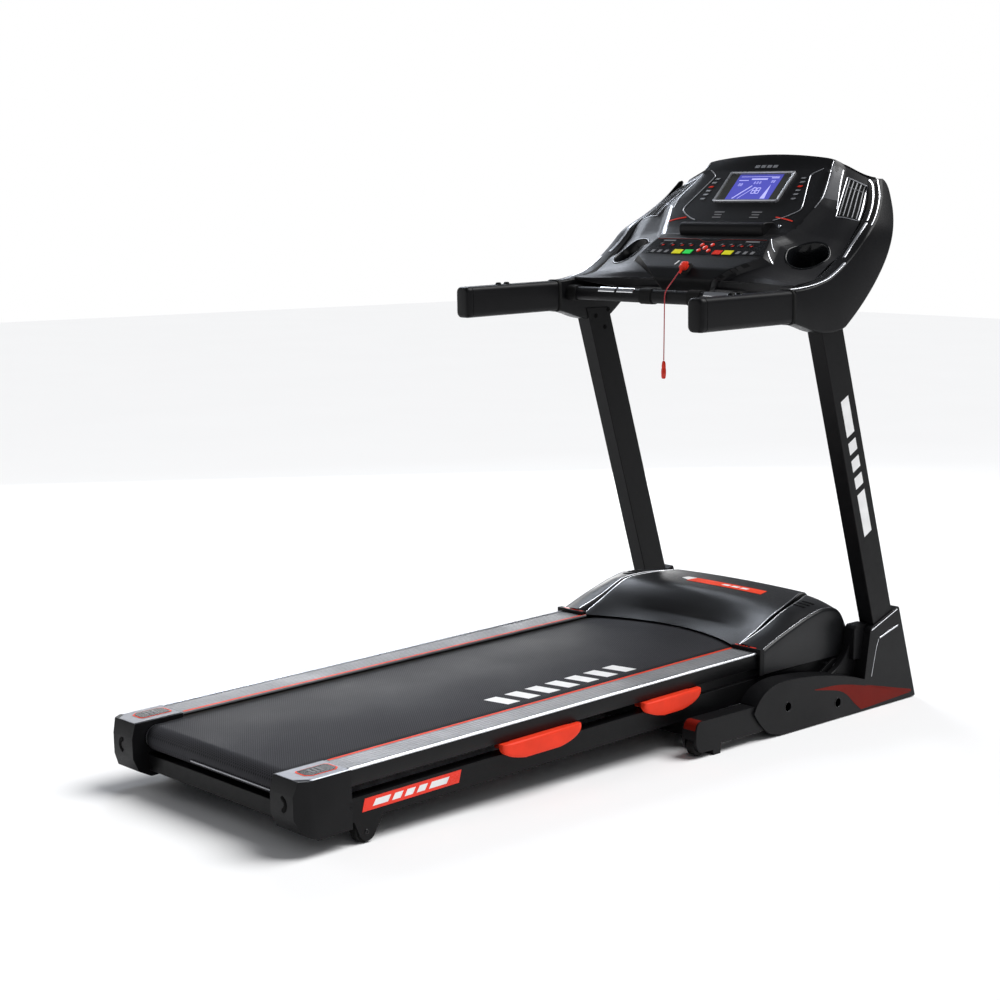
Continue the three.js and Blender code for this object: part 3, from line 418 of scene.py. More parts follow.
def prism(outline, start, end, axis):
    """A flat outline drawn out along an axis: (y, z) along X, (x, z) along Y, or (x, y) along Z."""
    first, second, third = AXES[axis]
    rings = []
    for depth in (start, end):
        ring = []
        for a, b in outline:
            point = Vector((0, 0, 0))
            point[first], point[second], point[third] = a, b, depth
            ring.append(point)
        rings.append(ring)
    return loft(rings)


def block(x0, x1, y0, y1, z0, z1):
    return prism([(x0, y0), (x1, y0), (x1, y1), (x0, y1)], z0, z1, "Z")


def spun(profile, base, axis, sides=40):
    """A solid of revolution from (radius, distance along the axis) points."""
    turn = Vector(axis).to_track_quat("Z", "Y")
    rings = []
    for radius, distance in profile:
        ring = []
        for k in range(sides):
            angle = math.tau * k / sides
            local = Vector((radius * math.cos(angle), radius * math.sin(angle), distance))
            ring.append(Vector(base) + turn @ local)
        rings.append(ring)
    return loft(rings)


def frames(path):
    """The path's points, each with its unit tangent."""
    made = []
    for k, point in enumerate(path):
        ahead = path[min(k + 1, len(path) - 1)] - path[max(k - 1, 0)]
        made.append((point, ahead.normalized()))
    return made


def tube(path, radius, sides=10):
    path = [Vector(p) for p in path]
    side = path[1] - path[0]
    side = side.orthogonal().normalized()
    rings = []
    for point, tangent in frames(path):
        side = (side - tangent * side.dot(tangent)).normalized()
        other = tangent.cross(side)
        rings.append([
            point + (side * math.cos(math.tau * k / sides) + other * math.sin(math.tau * k / sides)) * radius
            for k in range(sides)
        ])
    return loft(rings)


def slab(top, bottom):
    """A closed sheet between two grids of points."""
    rows, columns = len(top), len(top[0])
    points = [Vector(p) for grid in (top, bottom) for row in grid for p in row]
    shift = rows * columns
    faces = []
    for i in range(rows - 1):
        for j in range(columns - 1):
            a = i * columns + j
            quad = (a, a + 1, a + columns + 1, a + columns)
            faces.append(quad)
            faces.append(tuple(shift + k for k in reversed(quad)))
    border = [j for j in range(columns)]
    border += [i * columns + columns - 1 for i in range(1, rows)]
    border += [(rows - 1) * columns + j for j in reversed(range(columns - 1))]
    border += [i * columns for i in reversed(range(1, rows - 1))]
    for k, a in enumerate(border):
        b = border[(k + 1) % len(border)]
        faces.append((b, a, shift + a, shift + b))
    return points, faces


def together(*meshes):
    points, faces = [], []
    for some_points, some_faces in meshes:
        shift = len(points)
        points += some_points
        faces += [tuple(shift + k for k in face) for face in some_faces]
    return points, faces


def moved(mesh, matrix):
    return [matrix @ Vector(p) for p in mesh[0]], mesh[1]


def flipped(mesh):
    """The mirror image across the middle of the machine."""
    return [Vector((-p[0], p[1], p[2])) for p in mesh[0]], [tuple(reversed(f)) for f in mesh[1]]


def sided(mesh, sign):
    return mesh if sign > 0 else flipped(mesh)


def mirrored(point, sign):
    return Vector((point[0] * sign, point[1], point[2]))


# ---------------------------------------------------------------- pieces


def bake_modifiers(obj):
    graph = bpy.context.evaluated_depsgraph_get()
    mesh = bpy.data.meshes.new_from_object(obj.evaluated_get(graph))
    obj.modifiers.clear()
    old = obj.data
    obj.data = mesh
    bpy.data.meshes.remove(old)
    mesh.name = obj.name


def bevel(obj, width, segments, angle=34):
    modifier = obj.modifiers.new("bevel", "BEVEL")
    modifier.width = width * MM
    modifier.segments = segments
    modifier.limit_method = "ANGLE"
    modifier.angle_limit = math.radians(angle)
    modifier.harden_normals = True
    bake_modifiers(obj)


def faired(obj, sharp=34):
    """Smooth shading, apart from edges sharper than the angle, with outward faces."""
    work = bmesh.new()
    work.from_mesh(obj.data)
    bmesh.ops.recalc_face_normals(work, faces=work.faces)
    work.to_mesh(obj.data)
    work.free()
    obj.data.shade_smooth()
    obj.data.set_sharp_from_angle(angle=math.radians(sharp))


def raw_object(name, mesh):
    data = bpy.data.meshes.new(name)
    data.from_pydata([Vector(p) * MM for p in mesh[0]], [], mesh[1])
    data.validate()
    obj = bpy.data.objects.new(name, data)
    bpy.context.scene.collection.objects.link(obj)
    return obj


def carve(obj, *cutters):
    for cutter in cutters:
        tool = raw_object("cutter", cutter)
        faired(tool)
        modifier = obj.modifiers.new("cut", "BOOLEAN")
        modifier.operation = "DIFFERENCE"
        modifier.solver = "EXACT"
        modifier.use_self = True
        modifier.object = tool
        bake_modifiers(obj)
        bpy.data.objects.remove(tool)


def piece(name, mesh, body, look, stands_for=(), edge=None, cutters=(), sharp=34, sweep=False):
    """A visible piece: a mesh, carved and rounded, in one look, riding on one body."""
    if sweep:
        mesh = ([swept(p) for p in mesh[0]], mesh[1])
    obj = raw_object(name, mesh)
    obj.data.materials.append(LOOKS[look])
    faired(obj, sharp)
    if cutters:
        carve(obj, *cutters)
        faired(obj, sharp)
    if edge:
        bevel(obj, edge[0], edge[1])
    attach(obj, body)
    if stands_for:
        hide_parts(*stands_for)
    return obj


def refined(node, look, width=1.2, segments=2):
    """A CAD node's own shape as a new piece, welded, with rounded edges."""
    source = nodes[node]
    data = source.data.copy()
    data.materials.clear()
    obj = bpy.data.objects.new(node + "_fine", data)
    bpy.context.scene.collection.objects.link(obj)
    work = bmesh.new()
    work.from_mesh(data)
    bmesh.ops.remove_doubles(work, verts=work.verts, dist=2e-5)
    bmesh.ops.dissolve_limit(work, angle_limit=math.radians(1.5), verts=work.verts, edges=work.edges)
    work.to_mesh(data)
    work.free()
    data.materials.append(LOOKS[look])
    faired(obj)
    if width:
        bevel(obj, width, segments)
    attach(obj, source["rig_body"])
    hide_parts(node)
    return obj


class Skin:
    """A surface to lay trims and marks on."""

    def __init__(self, mesh):
        self.tree = BVHTree.FromPolygons([Vector(p) for p in mesh[0]], mesh[1])

    def under(self, point, outward):
        """Where the surface lies below a point, seen from outside, and which way it faces."""
        reach = 50
        start = Vector(point) + outward * reach
        place, normal, _, _ = self.tree.ray_cast(start, -outward, reach * 2)
        if place is None:
            return Vector(point), outward.copy()
        return place, normal if normal.dot(outward) > 0 else -normal


def skin_of(obj):
    return Skin(([v.co / MM for v in obj.data.vertices], [tuple(p.vertices) for p in obj.data.polygons]))


def strip_on(skin, points, outward, width, height, pieces=6):
    """A low strip with softened edges that follows a line over a surface."""
    laid = [skin.under(p, outward) for p in spline(points, pieces)]
    rings = []
    for (place, tangent), (_, normal) in zip(frames([p for p, _ in laid]), laid):
        side = normal.cross(tangent).normalized()
        half = width / 2
        soft = min(height, half) * 0.5
        section = [(-half, -0.5), (-half, height - soft), (soft - half, height), (half - soft, height),
                   (half, height - soft), (half, -0.5)]
        rings.append([place + side * a + normal * b for a, b in section])
    return loft(rings)


def patch_on(skin, corners, outward, height, across=6, along=6):
    """A thin plate between four corners, bent to the surface that it lies on."""
    a, b, c, d = [Vector(p) for p in corners]
    top, bottom = [], []
    for i in range(along + 1):
        s = i / along
        start, end = a.lerp(d, s), b.lerp(c, s)
        row = [skin.under(start.lerp(end, j / across), outward)[0] for j in range(across + 1)]
        top.append([p + outward * height for p in row])
        bottom.append([p - outward * 0.3 for p in row])
    return slab(top, bottom)


def screw_head(place, axis, radius=4.5):
    """A domed head with a socket in it."""
    profile = [(0.01, -0.3), (radius, -0.3), (radius, 0.5), (radius * 0.85, 1.3), (radius * 0.5, 1.7),
               (radius * 0.42, 1.7), (radius * 0.4, 0.6), (0.01, 0.6)]
    return spun(profile, place, axis, 20)


# ---------------------------------------------------------------- frame, mechanism and drive

for side, sign in SIDES:
    refined(f"base_tube_{side}", "painted_steel", 2)
    refined(f"base_wheel_{side}", "soft_rubber", 0.8)
    refined(f"lift_arm_{side}", "painted_steel", 0.8)
    refined(f"deck_wheel_{side}", "soft_rubber", 0.8)

for node in ("base_cross_rear", "base_cross_front", "deck_cross_rear", "deck_cross_front"):
    refined(node, "painted_steel", 2, 3)
refined("lift_tube", "painted_steel", 0.8)
refined("strut_cylinder", "painted_steel", 0.8)
for node in ("hinge_carrier", "incline_screw", "strut_rod", "rear_roller", "front_roller", "motor_rotor"):
    refined(node, "bare_steel", 0.6)
refined("incline_motor", "black_plastic", 1)
refined("drive_motor", "painted_steel", 1)
refined("drive_belt", "soft_rubber", 0.4)
refined("motor_pan", "black_plastic", 0.8)
refined("deck_board", "board", 1)


def upright(side, sign):
    """Leaning tube, with three bolts in its inner face near the console and marks down its outer face."""
    tube_piece = refined(f"upright_{side}", "painted_steel", 6, 4)
    skin = skin_of(tube_piece)
    inward = Vector((-sign, 0, 0))
    inner_x = low("upright_right").x
    bolts = [screw_head(mirrored((inner_x, y, z), sign), inward, 6)
             for y, z in ((522, 884), (565, 898), (554, 856))]
    piece(f"upright_bolts_{side}", together(*bolts), "base", "black_and_painted_shade")
    outward = Vector((sign, 0, 0))
    outer_x = high("upright_right").x

    def on_face(down, across):
        middle = (784 + 861) / 2 + UPRIGHT_LEAN * down
        return mirrored((outer_x, middle + across, down), sign)

    marks = []
    for top, bottom, slant in ((722, 640, 14), (626, 600, 14), (586, 560, 14), (546, 520, 14),
                               (506, 408, 14)):
        marks.append(patch_on(skin, [on_face(bottom, -15), on_face(bottom + slant, 15),
                                     on_face(top + slant, 15), on_face(top, -15)], outward, 0.25, 2, 2))
    piece(f"upright_marks_{side}", together(*marks), "base", "white_mark")


for side, sign in SIDES:
    upright(side, sign)

# ---------------------------------------------------------------- base covers and sleeves

HUMP = ((291, 67), ((316, 124), (410, 122)), ((560, 116), (686, 76)))


def base_cover(side, sign):
    inner = low("base_cover_right").x
    outline = curve(HUMP[0], *HUMP[1:], (703, 186), ((704, 192), (709, 194)), (805, 228),
                    ((811, 231), (814, 223)), (887, 8), ((889, 2), (883, 2)), (394, 2), ((382, 2), (347, 12)),
                    ((318, 28), (292, 64)), pieces=9)
    wall = 3
    open_side = 40
    pocket = prism(curve((300, 62), ((322, 118), (410, 118)), ((560, 112), (690, 72)), (708, 188), (808, 224),
                         (880, 6), (394, 6), (350, 15), pieces=9), inner - open_side, HALF_WIDTH - wall, "X")
    room = 1
    upright_room = prism([
        (784 - 32.5 - room, 100), (861 - 32.5 + room, 100),
        (861 - 97.5 + room, 300), (784 - 97.5 - room, 300),
    ], inner - 1, high("upright_right").x + 0.3, "X")
    sleeve_room = block(inner - 1, high("tube_cap_right").x + 0.3, 270, 420, 21.7, 80.3)
    bolts = ((407, 62), (587, 39))
    holes = [spun([(10, -8), (10, 8)], (HALF_WIDTH, y, z), (1, 0, 0), 32) for y, z in bolts]
    body = prism(outline, inner, HALF_WIDTH, "X")
    cutters = [sided(c, sign) for c in (pocket, upright_room, sleeve_room, *holes)]
    cover = piece(f"base_cover_{side}_fine", sided(body, sign), "base", "black_plastic",
                  (f"base_cover_{side}",), (2.2, 3), cutters)
    heads = [spun([(0.01, -9), (9.6, -9), (9.6, -7.6), (7.5, -7), (3.4, -7), (3.2, -8.5), (0.01, -8.5)],
                  (HALF_WIDTH, y, z), (1, 0, 0), 28) for y, z in bolts]
    rims = [spun([(10, -1), (11.8, -1), (12, 0.2), (11.4, 0.7), (10.4, 0.5), (10, 0), (10, -1)],
                 (HALF_WIDTH, y, z), (1, 0, 0), 32) for y, z in bolts]
    piece(f"base_cover_screws_{side}", sided(together(*heads), sign), "base", "black_and_painted_shade")
    piece(f"base_cover_rims_{side}", sided(together(*rims), sign), "base", "gloss_panel")
    return skin_of(cover)


def fin(side, sign):
    """The raised inner wall that sweeps from the hump up to the boot."""
    inner = low("base_cover_right").x
    top = curve((560, 90), ((600, 92), (626, 108)), ((660, 130), (672, 165)), ((678, 176), (686, 178)),
                pieces=10)
    outline = [*top, (746, 176), (746, 66), (560, 82)]
    piece(f"base_fin_{side}", sided(prism(outline, inner, inner + 17, "X"), sign), "base", "black_plastic",
          edge=(3, 3))


def boot_collar(side, sign):
    """The raised box in the boot's mouth, round the foot of the upright."""
    inner = low("base_cover_right").x
    outline = [(668, 120), (668, 192), (676, 201), (716, 201), (726, 190), (726, 120)]
    piece(f"boot_collar_{side}", sided(prism(outline, inner, inner + 30, "X"), sign), "base", "black_plastic",
          edge=(3, 3))


def swoosh(side, sign):
    """Two dark red curved blades on the outer face."""
    outward = Vector((sign, 0, 0))

    def blade(top_line, bottom_line, steps=14):
        tops = spline(top_line, steps)
        bottoms = spline(bottom_line, steps)
        grid = []
        for above, below in zip(tops, bottoms):
            grid.append([mirrored((HALF_WIDTH, *above.lerp(below, k / 3)), sign) for k in range(4)])
        top = [[p + outward * 0.35 for p in row] for row in grid]
        bottom = [[p - outward * 0.3 for p in row] for row in grid]
        return slab(top, bottom)

    lower = blade([(500, 84), (600, 78), (720, 53), (868, 14)], [(500, 83), (600, 62), (652, 24), (676, 7)])
    upper = blade([(690, 62), (752, 48), (812, 34), (870, 21)],
                  [(690, 61), (752, 44), (812, 29), (871, 14.5)])
    piece(f"swoosh_{side}", together(lower, upper), "base", "dark_red")


def cover_trims(side, sign, skin):
    """Silver lines on the boot's outer face; the line along its top edge is a painted highlight of that
    rounded edge.
    """
    outward = Vector((sign, 0, 0))
    face = HALF_WIDTH

    def along(points, width, height):
        return strip_on(skin, [mirrored((face, *p), sign) for p in points], outward, width, height)

    strips = [
        along([(740, 165), (775, 175), (809, 184)], 3.6, 0.5),
        # A painted highlight along the boot's rounded top edge.
        along([(708, 187), (757, 205), (806, 223)], 1.6, 0.4),
        along([(736, 163), (727, 140), (712, 78)], 1.6, 0.4),
    ]
    piece(f"boot_trim_and_highlight_{side}", together(*strips), "base", "silver")


for side, sign in SIDES:
    cover_skin = base_cover(side, sign)
    fin(side, sign)
    boot_collar(side, sign)
    swoosh(side, sign)
    cover_trims(side, sign, cover_skin)


def sleeve(side, sign):
    refined(f"tube_cap_{side}", "black_plastic", 2, 3)
    x0, x1 = low("tube_cap_right").x, high("tube_cap_right").x
    path = curve((128, 80.4), (125, 80.4), ((109.5, 80.4), (106.6, 62)), pieces=8)
    top = [[mirrored((x0 + 4 + (x1 - x0 - 8) * j / 4, y, z + 0.2), sign) for j in range(5)] for y, z in path]
    bottom = [[p - Vector((0, -0.8, 0.8)) for p in row] for row in top]
    piece(f"sleeve_reflector_{side}", slab(top, bottom), "base", "dark_red")


for side, sign in SIDES:
    sleeve(side, sign)

# ---------------------------------------------------------------- deck


def on_deck(x, station, height):
    return DECK @ Vector((x, station, height))


def running_belt():
    """The loop round both rollers, with rolled edges."""
    rear, front, drop, radius, thick = 38, 1355, -32.3, 24.3, 2
    turn = 24

    def loop(offset):
        ring = []
        for k in range(turn + 1):
            angle = math.pi / 2 + math.pi * k / turn
            ring.append((rear + offset * math.cos(angle), drop + offset * math.sin(angle)))
        for k in range(turn + 1):
            angle = -math.pi / 2 + math.pi * k / turn
            ring.append((front + offset * math.cos(angle), drop + offset * math.sin(angle)))
        return ring

    section = [(-1, 0.3), (-1, 0.8), (-0.996, 1), (0.996, 1), (1, 0.8), (1, 0.3), (0.998, 0), (-0.998, 0)]
    loops = [loop(radius + thick * high_part) for _, high_part in section]
    count = len(loops[0])
    rings = [[on_deck(section[k][0] * BELT_HALF, *loops[k][i]) for k in range(len(section))]
             for i in range(count)]
    rings.append(rings[0])
    points, faces = loft(rings, capped=False)
    kept = len(points) - len(section)
    faces = [tuple(k % kept for k in face) for face in faces]
    piece("running_belt_fine", (points[:kept], faces), "deck", "belt", ("running_belt",))


running_belt()


def foot_rail(side, sign):
    """Ribbed aluminium tread with a bead at its outer edge, over a black skirt."""
    start, end = 106.3, 1267
    top = [(230, -4.5), (230, -0.8), (230.8, 0), (239, 0)]
    ribs, first, pitch = 6, 241, 9
    for k in range(ribs):
        x = first + k * pitch
        top += [(x, 0), (x + 0.7, -0.9), (x + 2.3, -0.9), (x + 3, 0)]
    top += [(294.5, 0), (295.5, -2.4), (298, -2.4), (298.4, -3), (303, -3), (303, -4.5)]
    rail = moved(prism(top, start, end, "Y"), DECK)
    bead = [(298.6, -2.8), (298.8, 0.2), (300, 0.9), (304.6, 0.9), (306, -0.4), (306, -2.8)]
    piece(f"foot_rail_{side}_bead", sided(moved(prism(bead, start, end, "Y"), DECK), sign), "deck", "silver")
    piece(f"foot_rail_{side}_tread", sided(rail, sign), "deck", "rail", (f"foot_rail_{side}",), sharp=50)
    skirt = [(303.2, -3.2), (306, -3.2), (306, -33), (305, -34), (303.2, -34)]
    piece(f"foot_rail_{side}_skirt", sided(moved(prism(skirt, start, end, "Y"), DECK), sign), "deck",
          "black_plastic", sharp=50)
    line = [(231, -0.2), (231, 0.5), (237.5, 0.5), (237.5, -0.2)]
    piece(f"foot_rail_{side}_line", sided(moved(prism(line, start + 6, end, "Y"), DECK), sign), "deck",
          "orange_line")


def side_tube(side, sign):
    """The steel side tube with its wheel bracket, a plain red plate near the rear, and the bracket's bolt."""
    refined(f"deck_rail_{side}", "painted_steel", 2.5, 3)
    x = SIDE_TUBE
    plate = [(x - 0.2, 138, -63), (x - 0.2, 375, -62.5), (x - 0.2, 368, -87), (x - 0.2, 131, -87.5)]

    def laid(points, lift):
        ring = [on_deck(*p) for p in points]
        return loft([ring, [p + Vector((lift, 0, 0)) for p in ring]])

    piece(f"side_plate_{side}", sided(laid(plate, 0.9), sign), "deck", "red_gloss", edge=(0.25, 1))
    dashes = []
    for first, last in ((160, 196), (206, 226), (236, 256), (266, 286), (296, 340)):
        lean = 4
        dashes.append(laid([(x, first + lean, -69), (x, last + lean, -69), (x, last - lean, -81),
                            (x, first - lean, -81)], 1.0))
    piece(f"side_plate_marks_{side}", sided(together(*dashes), sign), "deck", "white_mark")
    bolt = screw_head(on_deck(x, 141, -126.4), (1, 0, 0), 5)
    piece(f"wheel_bolt_{side}", sided(bolt, sign), "deck", "gloss_panel")
    filler = moved(block(294, 297, 1060, 1290, -56.5, -34.5), DECK)
    piece(f"rail_filler_{side}", sided(filler, sign), "deck", "black_plastic")


def cushion(side, sign, name, start, end):
    """Elastomer block between board and tube, with a half-round flange outside."""
    top, bottom = -34.8, -72
    outline = curve((start + 2, top), (end - 2, top), ((end + 6, bottom + 10), (end - 62, bottom)),
                    (start + 62, bottom), ((start - 6, bottom + 10), (start + 2, top)), pieces=12)
    x0, x1 = SIDE_TUBE + 0.3, high("cushion_rear_right").x
    rings = []
    middle = Vector(((start + end) / 2, (top + bottom) / 2 + 4))
    for x, shrink in ((x0, 1.0), (x1 - 3.5, 1.0), (x1 - 1.6, 0.985), (x1 - 0.5, 0.955), (x1 - 0.1, 0.90),
                      (x1, 0.6)):
        ring = []
        for point in outline:
            spot = middle + (Vector(point) - middle) * shrink
            ring.append(on_deck(x, spot.x, spot.y))
        rings.append(ring)
    flange = loft(rings)
    web = moved(block(262, SIDE_TUBE + 2, start + 30, end - 30, -56.7, -34.6), DECK)
    pad = moved(block(262, 300, start + 30, end - 30, -36.6, -24.6), DECK)
    piece(f"{name}_{side}_fine", sided(together(flange, web, pad), sign), "deck", "elastomer",
          (f"{name}_{side}",), (1, 2))


def end_cap(side, sign):
    """Moulded cover over the rear corner: a chamfered end with a tensioner slot and a grip of chevrons."""
    x0, x1 = 226, 310
    outline = [(-14.7, -28), (-6, 0), (106, 0), (106, -60), (100, -62), (100, -72), (106, -74), (106, -112),
               (26, -113), (-2, -98), (-14.7, -70)]
    shell = moved(prism(outline, x0, x1, "X"), DECK)
    pocket = moved(prism([(7, -29), (7, -4), (130, -4), (130, -108), (26, -109), (7, -98)],
                         x0 + 3, x1 - 4, "X"), DECK)
    shaft = moved(spun([(7, -6), (7, 6)], (x0, 38, -32.3), (1, 0, 0), 24), DECK)
    slot_path = [Vector((258, -15, -30)), Vector((266, -15, -35)), Vector((269, -15, -43)),
                 Vector((266, -15, -51)), Vector((260, -15, -55))]
    slot = moved(tube([p + Vector((2, 0, -4)) for p in spline(slot_path, 4)], 5, 10), DECK)
    corner = [(x1 - 26, -30), (x1 + 1, -30), (x1 + 1, 12)]
    chamfer = moved(prism(corner, -130, 10, "Z"), DECK)
    cutters = [sided(c, sign) for c in (pocket, shaft, slot, chamfer)]
    piece(f"end_cap_{side}_fine", sided(shell, sign), "deck", "black_plastic", (f"end_cap_{side}",), (3, 3),
          cutters)
    # A near-black tube behind the tensioner slot: painted shade for the dark inside the cap.
    slot_shade = moved(tube([p + Vector((2, 2.5, -4)) for p in spline(slot_path, 4)], 4.4, 10), DECK)
    piece(f"end_cap_slot_shade_{side}", sided(slot_shade, sign), "deck", "black_and_painted_shade")
    chevrons = []
    for k in range(3):
        z = -72 - k * 9
        back = -14.9 + max(0, (-70 - (z - 3)) * 0.45)
        for half, lean in ((-1, -4), (1, -4)):
            near, far = 276, 276 + half * 9
            chevrons.append(tube([on_deck(near, back, z), on_deck(far, back, z - lean)], 1.3, 8))
    piece(f"end_cap_grip_{side}", sided(together(*chevrons), sign), "deck", "gloss_panel")
    plate = [(231, -5.5), (231, 104), (305, 104), (305, 20), (284, -5.5)]
    piece(f"end_cap_plate_{side}", sided(moved(prism(plate, -0.2, 1.1, "Z"), DECK), sign), "deck",
          "cap_plate",
          edge=(0.5, 2))
    edge_line = [(305.6, 14), (305.6, 106), (309.8, 106), (309.8, 18)]
    piece(f"end_cap_line_{side}", sided(moved(prism(edge_line, -1.0, 0.9, "Z"), DECK), sign), "deck",
          "silver",
          edge=(0.4, 2))
    badge = [(248, 26), (248, 92), (254, 98), (282, 98), (290, 88), (290, 34), (280, 22), (254, 22)]

    def badge_ring(grow):
        centre = Vector((269, 60))
        return [centre + (Vector(p) - centre) * grow for p in badge]

    rim = moved(prism([tuple(p) for p in badge_ring(1.0)], 0.9, 1.6, "Z"), DECK)
    face = moved(prism([tuple(p) for p in badge_ring(0.91)], 1.2, 2.0, "Z"), DECK)
    piece(f"badge_rim_{side}", sided(rim, sign), "deck", "orange_line", edge=(0.2, 1))
    piece(f"badge_face_{side}", sided(face, sign), "deck", "gloss_panel", edge=(0.2, 1))
    bars = [moved(block(258, 280, v, v + 5, 1.9, 2.3), DECK) for v in (44, 54, 64)]
    piece(f"badge_bars_{side}", sided(together(*bars), sign), "deck", "grey_mark")


# A thin silver rod under the rear roller: a painted highlight for the light caught by the edge of the rear
# cross tube.
highlight_path = [on_deck(-60, 12, -41), on_deck(80, 12, -41), on_deck(215, 12, -41)]
piece("rear_highlight_rod", tube([p + Vector((0, -2, -1)) for p in highlight_path], 1.4, 8), "deck", "silver")

for side, sign in SIDES:
    foot_rail(side, sign)
    side_tube(side, sign)
    cushion(side, sign, "cushion_rear", 472, 692)
    cushion(side, sign, "cushion_front", 876, 1056)
    end_cap(side, sign)


def belt_marks():
    """Plain slanted bars near the hood, right of the middle."""
    bars = []
    lift = -5.9
    for start in (598, 656, 714, 772, 830, 888, 946):
        lean = 12
        corners = [(129, start), (189, start + lean), (189, start + lean + 34), (129, start + 34)]
        ring = [on_deck(x, v, lift) for x, v in corners]
        bars.append(loft([[p - UP * 0.15 for p in ring], [p + UP * 0.12 for p in ring]]))
    piece("belt_marks", together(*bars), "deck", "white_mark")


belt_marks()

# ---------------------------------------------------------------- motor hood

HOOD_BOTTOM = 126


def hood_edge_y(x):
    """The arch over the belt: how far forward the hood's rear edge lies at each x."""
    return 389 + 70 * (1 - (abs(x) / 236) ** 2) if abs(x) < 236 else 389


HOOD_RIM = [(240, 389, 176), (242, 430, 194), (243, 460, 207), (243, 503, 228), (243, 548, 244),
            (228, 600, 251),
            (200, 668, 254), (193, 698, 247), (190, 720, 212), (190, 729, 165), (190, 732, HOOD_BOTTOM)]


def hood_centre():
    """The middle panel: it scoops up from the arch, crowns, narrows, and falls to the front."""
    columns = 72
    rim = spline(HOOD_RIM, 5)
    last = len(rim) - 1
    top = []
    for i in range(columns + 1):
        f = 2 * i / columns - 1
        column = []
        for k, edge in enumerate(rim):
            x = edge.x * f
            start = hood_edge_y(x)
            y = edge.y + (start - rim[0].y) * (1 - smooth(0, 0.45, k / last))
            bulge = (1 - f * f)
            scoop = 16 * math.sin(math.pi * min(k / (0.42 * last), 1)) * bulge
            column.append(Vector((x, y, edge.z + scoop * -0.35 + 4 * bulge * smooth(0.3, 0.5, k / last)
                                  * smooth(HOOD_BOTTOM, 220, edge.z))))
        top.append(column)
    return top


def grid_normal(grid, i, j):
    rows, columns = len(grid), len(grid[0])
    down = grid[min(i + 1, rows - 1)][j] - grid[max(i - 1, 0)][j]
    across = grid[i][min(j + 1, columns - 1)] - grid[i][max(j - 1, 0)]
    normal = down.cross(across)
    return normal.normalized() if normal.length > 1e-6 else UP


def thick_sheet(name, grid, thickness, body, look, stands_for=(), cutters=(), sharp=40):
    """A grid of points as a sheet with even thickness on its lower side: rows run down, columns to +X."""
    under = [[p - grid_normal(grid, i, j) * thickness for j, p in enumerate(row)]
             for i, row in enumerate(grid)]
    return piece(name, slab(grid, under), body, look, stands_for, None, cutters, sharp)


hood_grid = hood_centre()
hood_panel = thick_sheet("motor_hood_fine", hood_grid, 3, "deck", "hood_plastic", ("motor_hood",))
hood_skin = skin_of(hood_panel)

FENDER_OUTER = 314


def fender(side, sign):
    """The hood's shoulder: rounded outer edge, vertical side wall, and the groove's outer wall."""
    ridge_inner = spline([(251, 388, 187), (251, 459, 209), (251, 522, 235), (250, 552, 244), (237, 606, 250),
                          (209, 670, 250), (201, 698, 240), (198, 718, 205), (198, 728, 158),
                          (198, 732, HOOD_BOTTOM)], 6)
    ridge_outer = spline([(388, 178), (458, 204), (521, 224), (556, 234), (604, 243), (648, 239), (672, 226),
                          (692, 194), (713, 157), (730, HOOD_BOTTOM)], 6)
    grid = []
    shoulder = 9
    for a, b in zip(ridge_inner, ridge_outer):
        column = [Vector((a.x - 3, a.y, max(a.z - 12, HOOD_BOTTOM))),
                  Vector((a.x, a.y, max(a.z - 1.5, HOOD_BOTTOM))),
                  Vector((a.x + 1.5, a.y, a.z))]
        for k in range(1, 9):
            t = k / 9
            y = a.y * (1 - t) + b.x * t
            z = a.z * (1 - t) + b.y * t
            x = a.x + 1.5 + (FENDER_OUTER - shoulder - a.x - 1.5) * t
            column.append(Vector((x, y, z + 2.5 * math.sin(math.pi * t))))
        for k in range(6):
            angle = math.pi / 2 * k / 5
            drop = min(shoulder, max(b.y - HOOD_BOTTOM, 0))
            column.append(Vector((FENDER_OUTER - shoulder + shoulder * math.sin(angle), b.x,
                                  b.y - drop * (1 - math.cos(angle)))))
        for k in range(1, 5):
            start = max(b.y - shoulder, HOOD_BOTTOM)
            column.append(Vector((FENDER_OUTER, b.x, start + (HOOD_BOTTOM - start) * k / 4)))
        grid.append([mirrored(p, sign) for p in column])
    if sign > 0:
        grid = grid[::-1]
    obj = thick_sheet(f"hood_fender_{side}", grid, 2.5, "deck", "hood_plastic", sharp=50)
    # A near-black sheet across the groove's floor: painted shade for the dark between the panel and the
    # fender.
    groove_shade_grid = []
    for a in ridge_inner:
        z = max(a.z - 13, HOOD_BOTTOM)
        groove_shade_grid.append([mirrored((a.x + shift, a.y, z), sign) for shift in (-13, -7, -1)])
    lower = [[p - UP * 2 for p in row] for row in groove_shade_grid]
    piece(f"hood_groove_shade_{side}", slab(groove_shade_grid, lower), "deck", "black_and_painted_shade")
    return skin_of(obj)


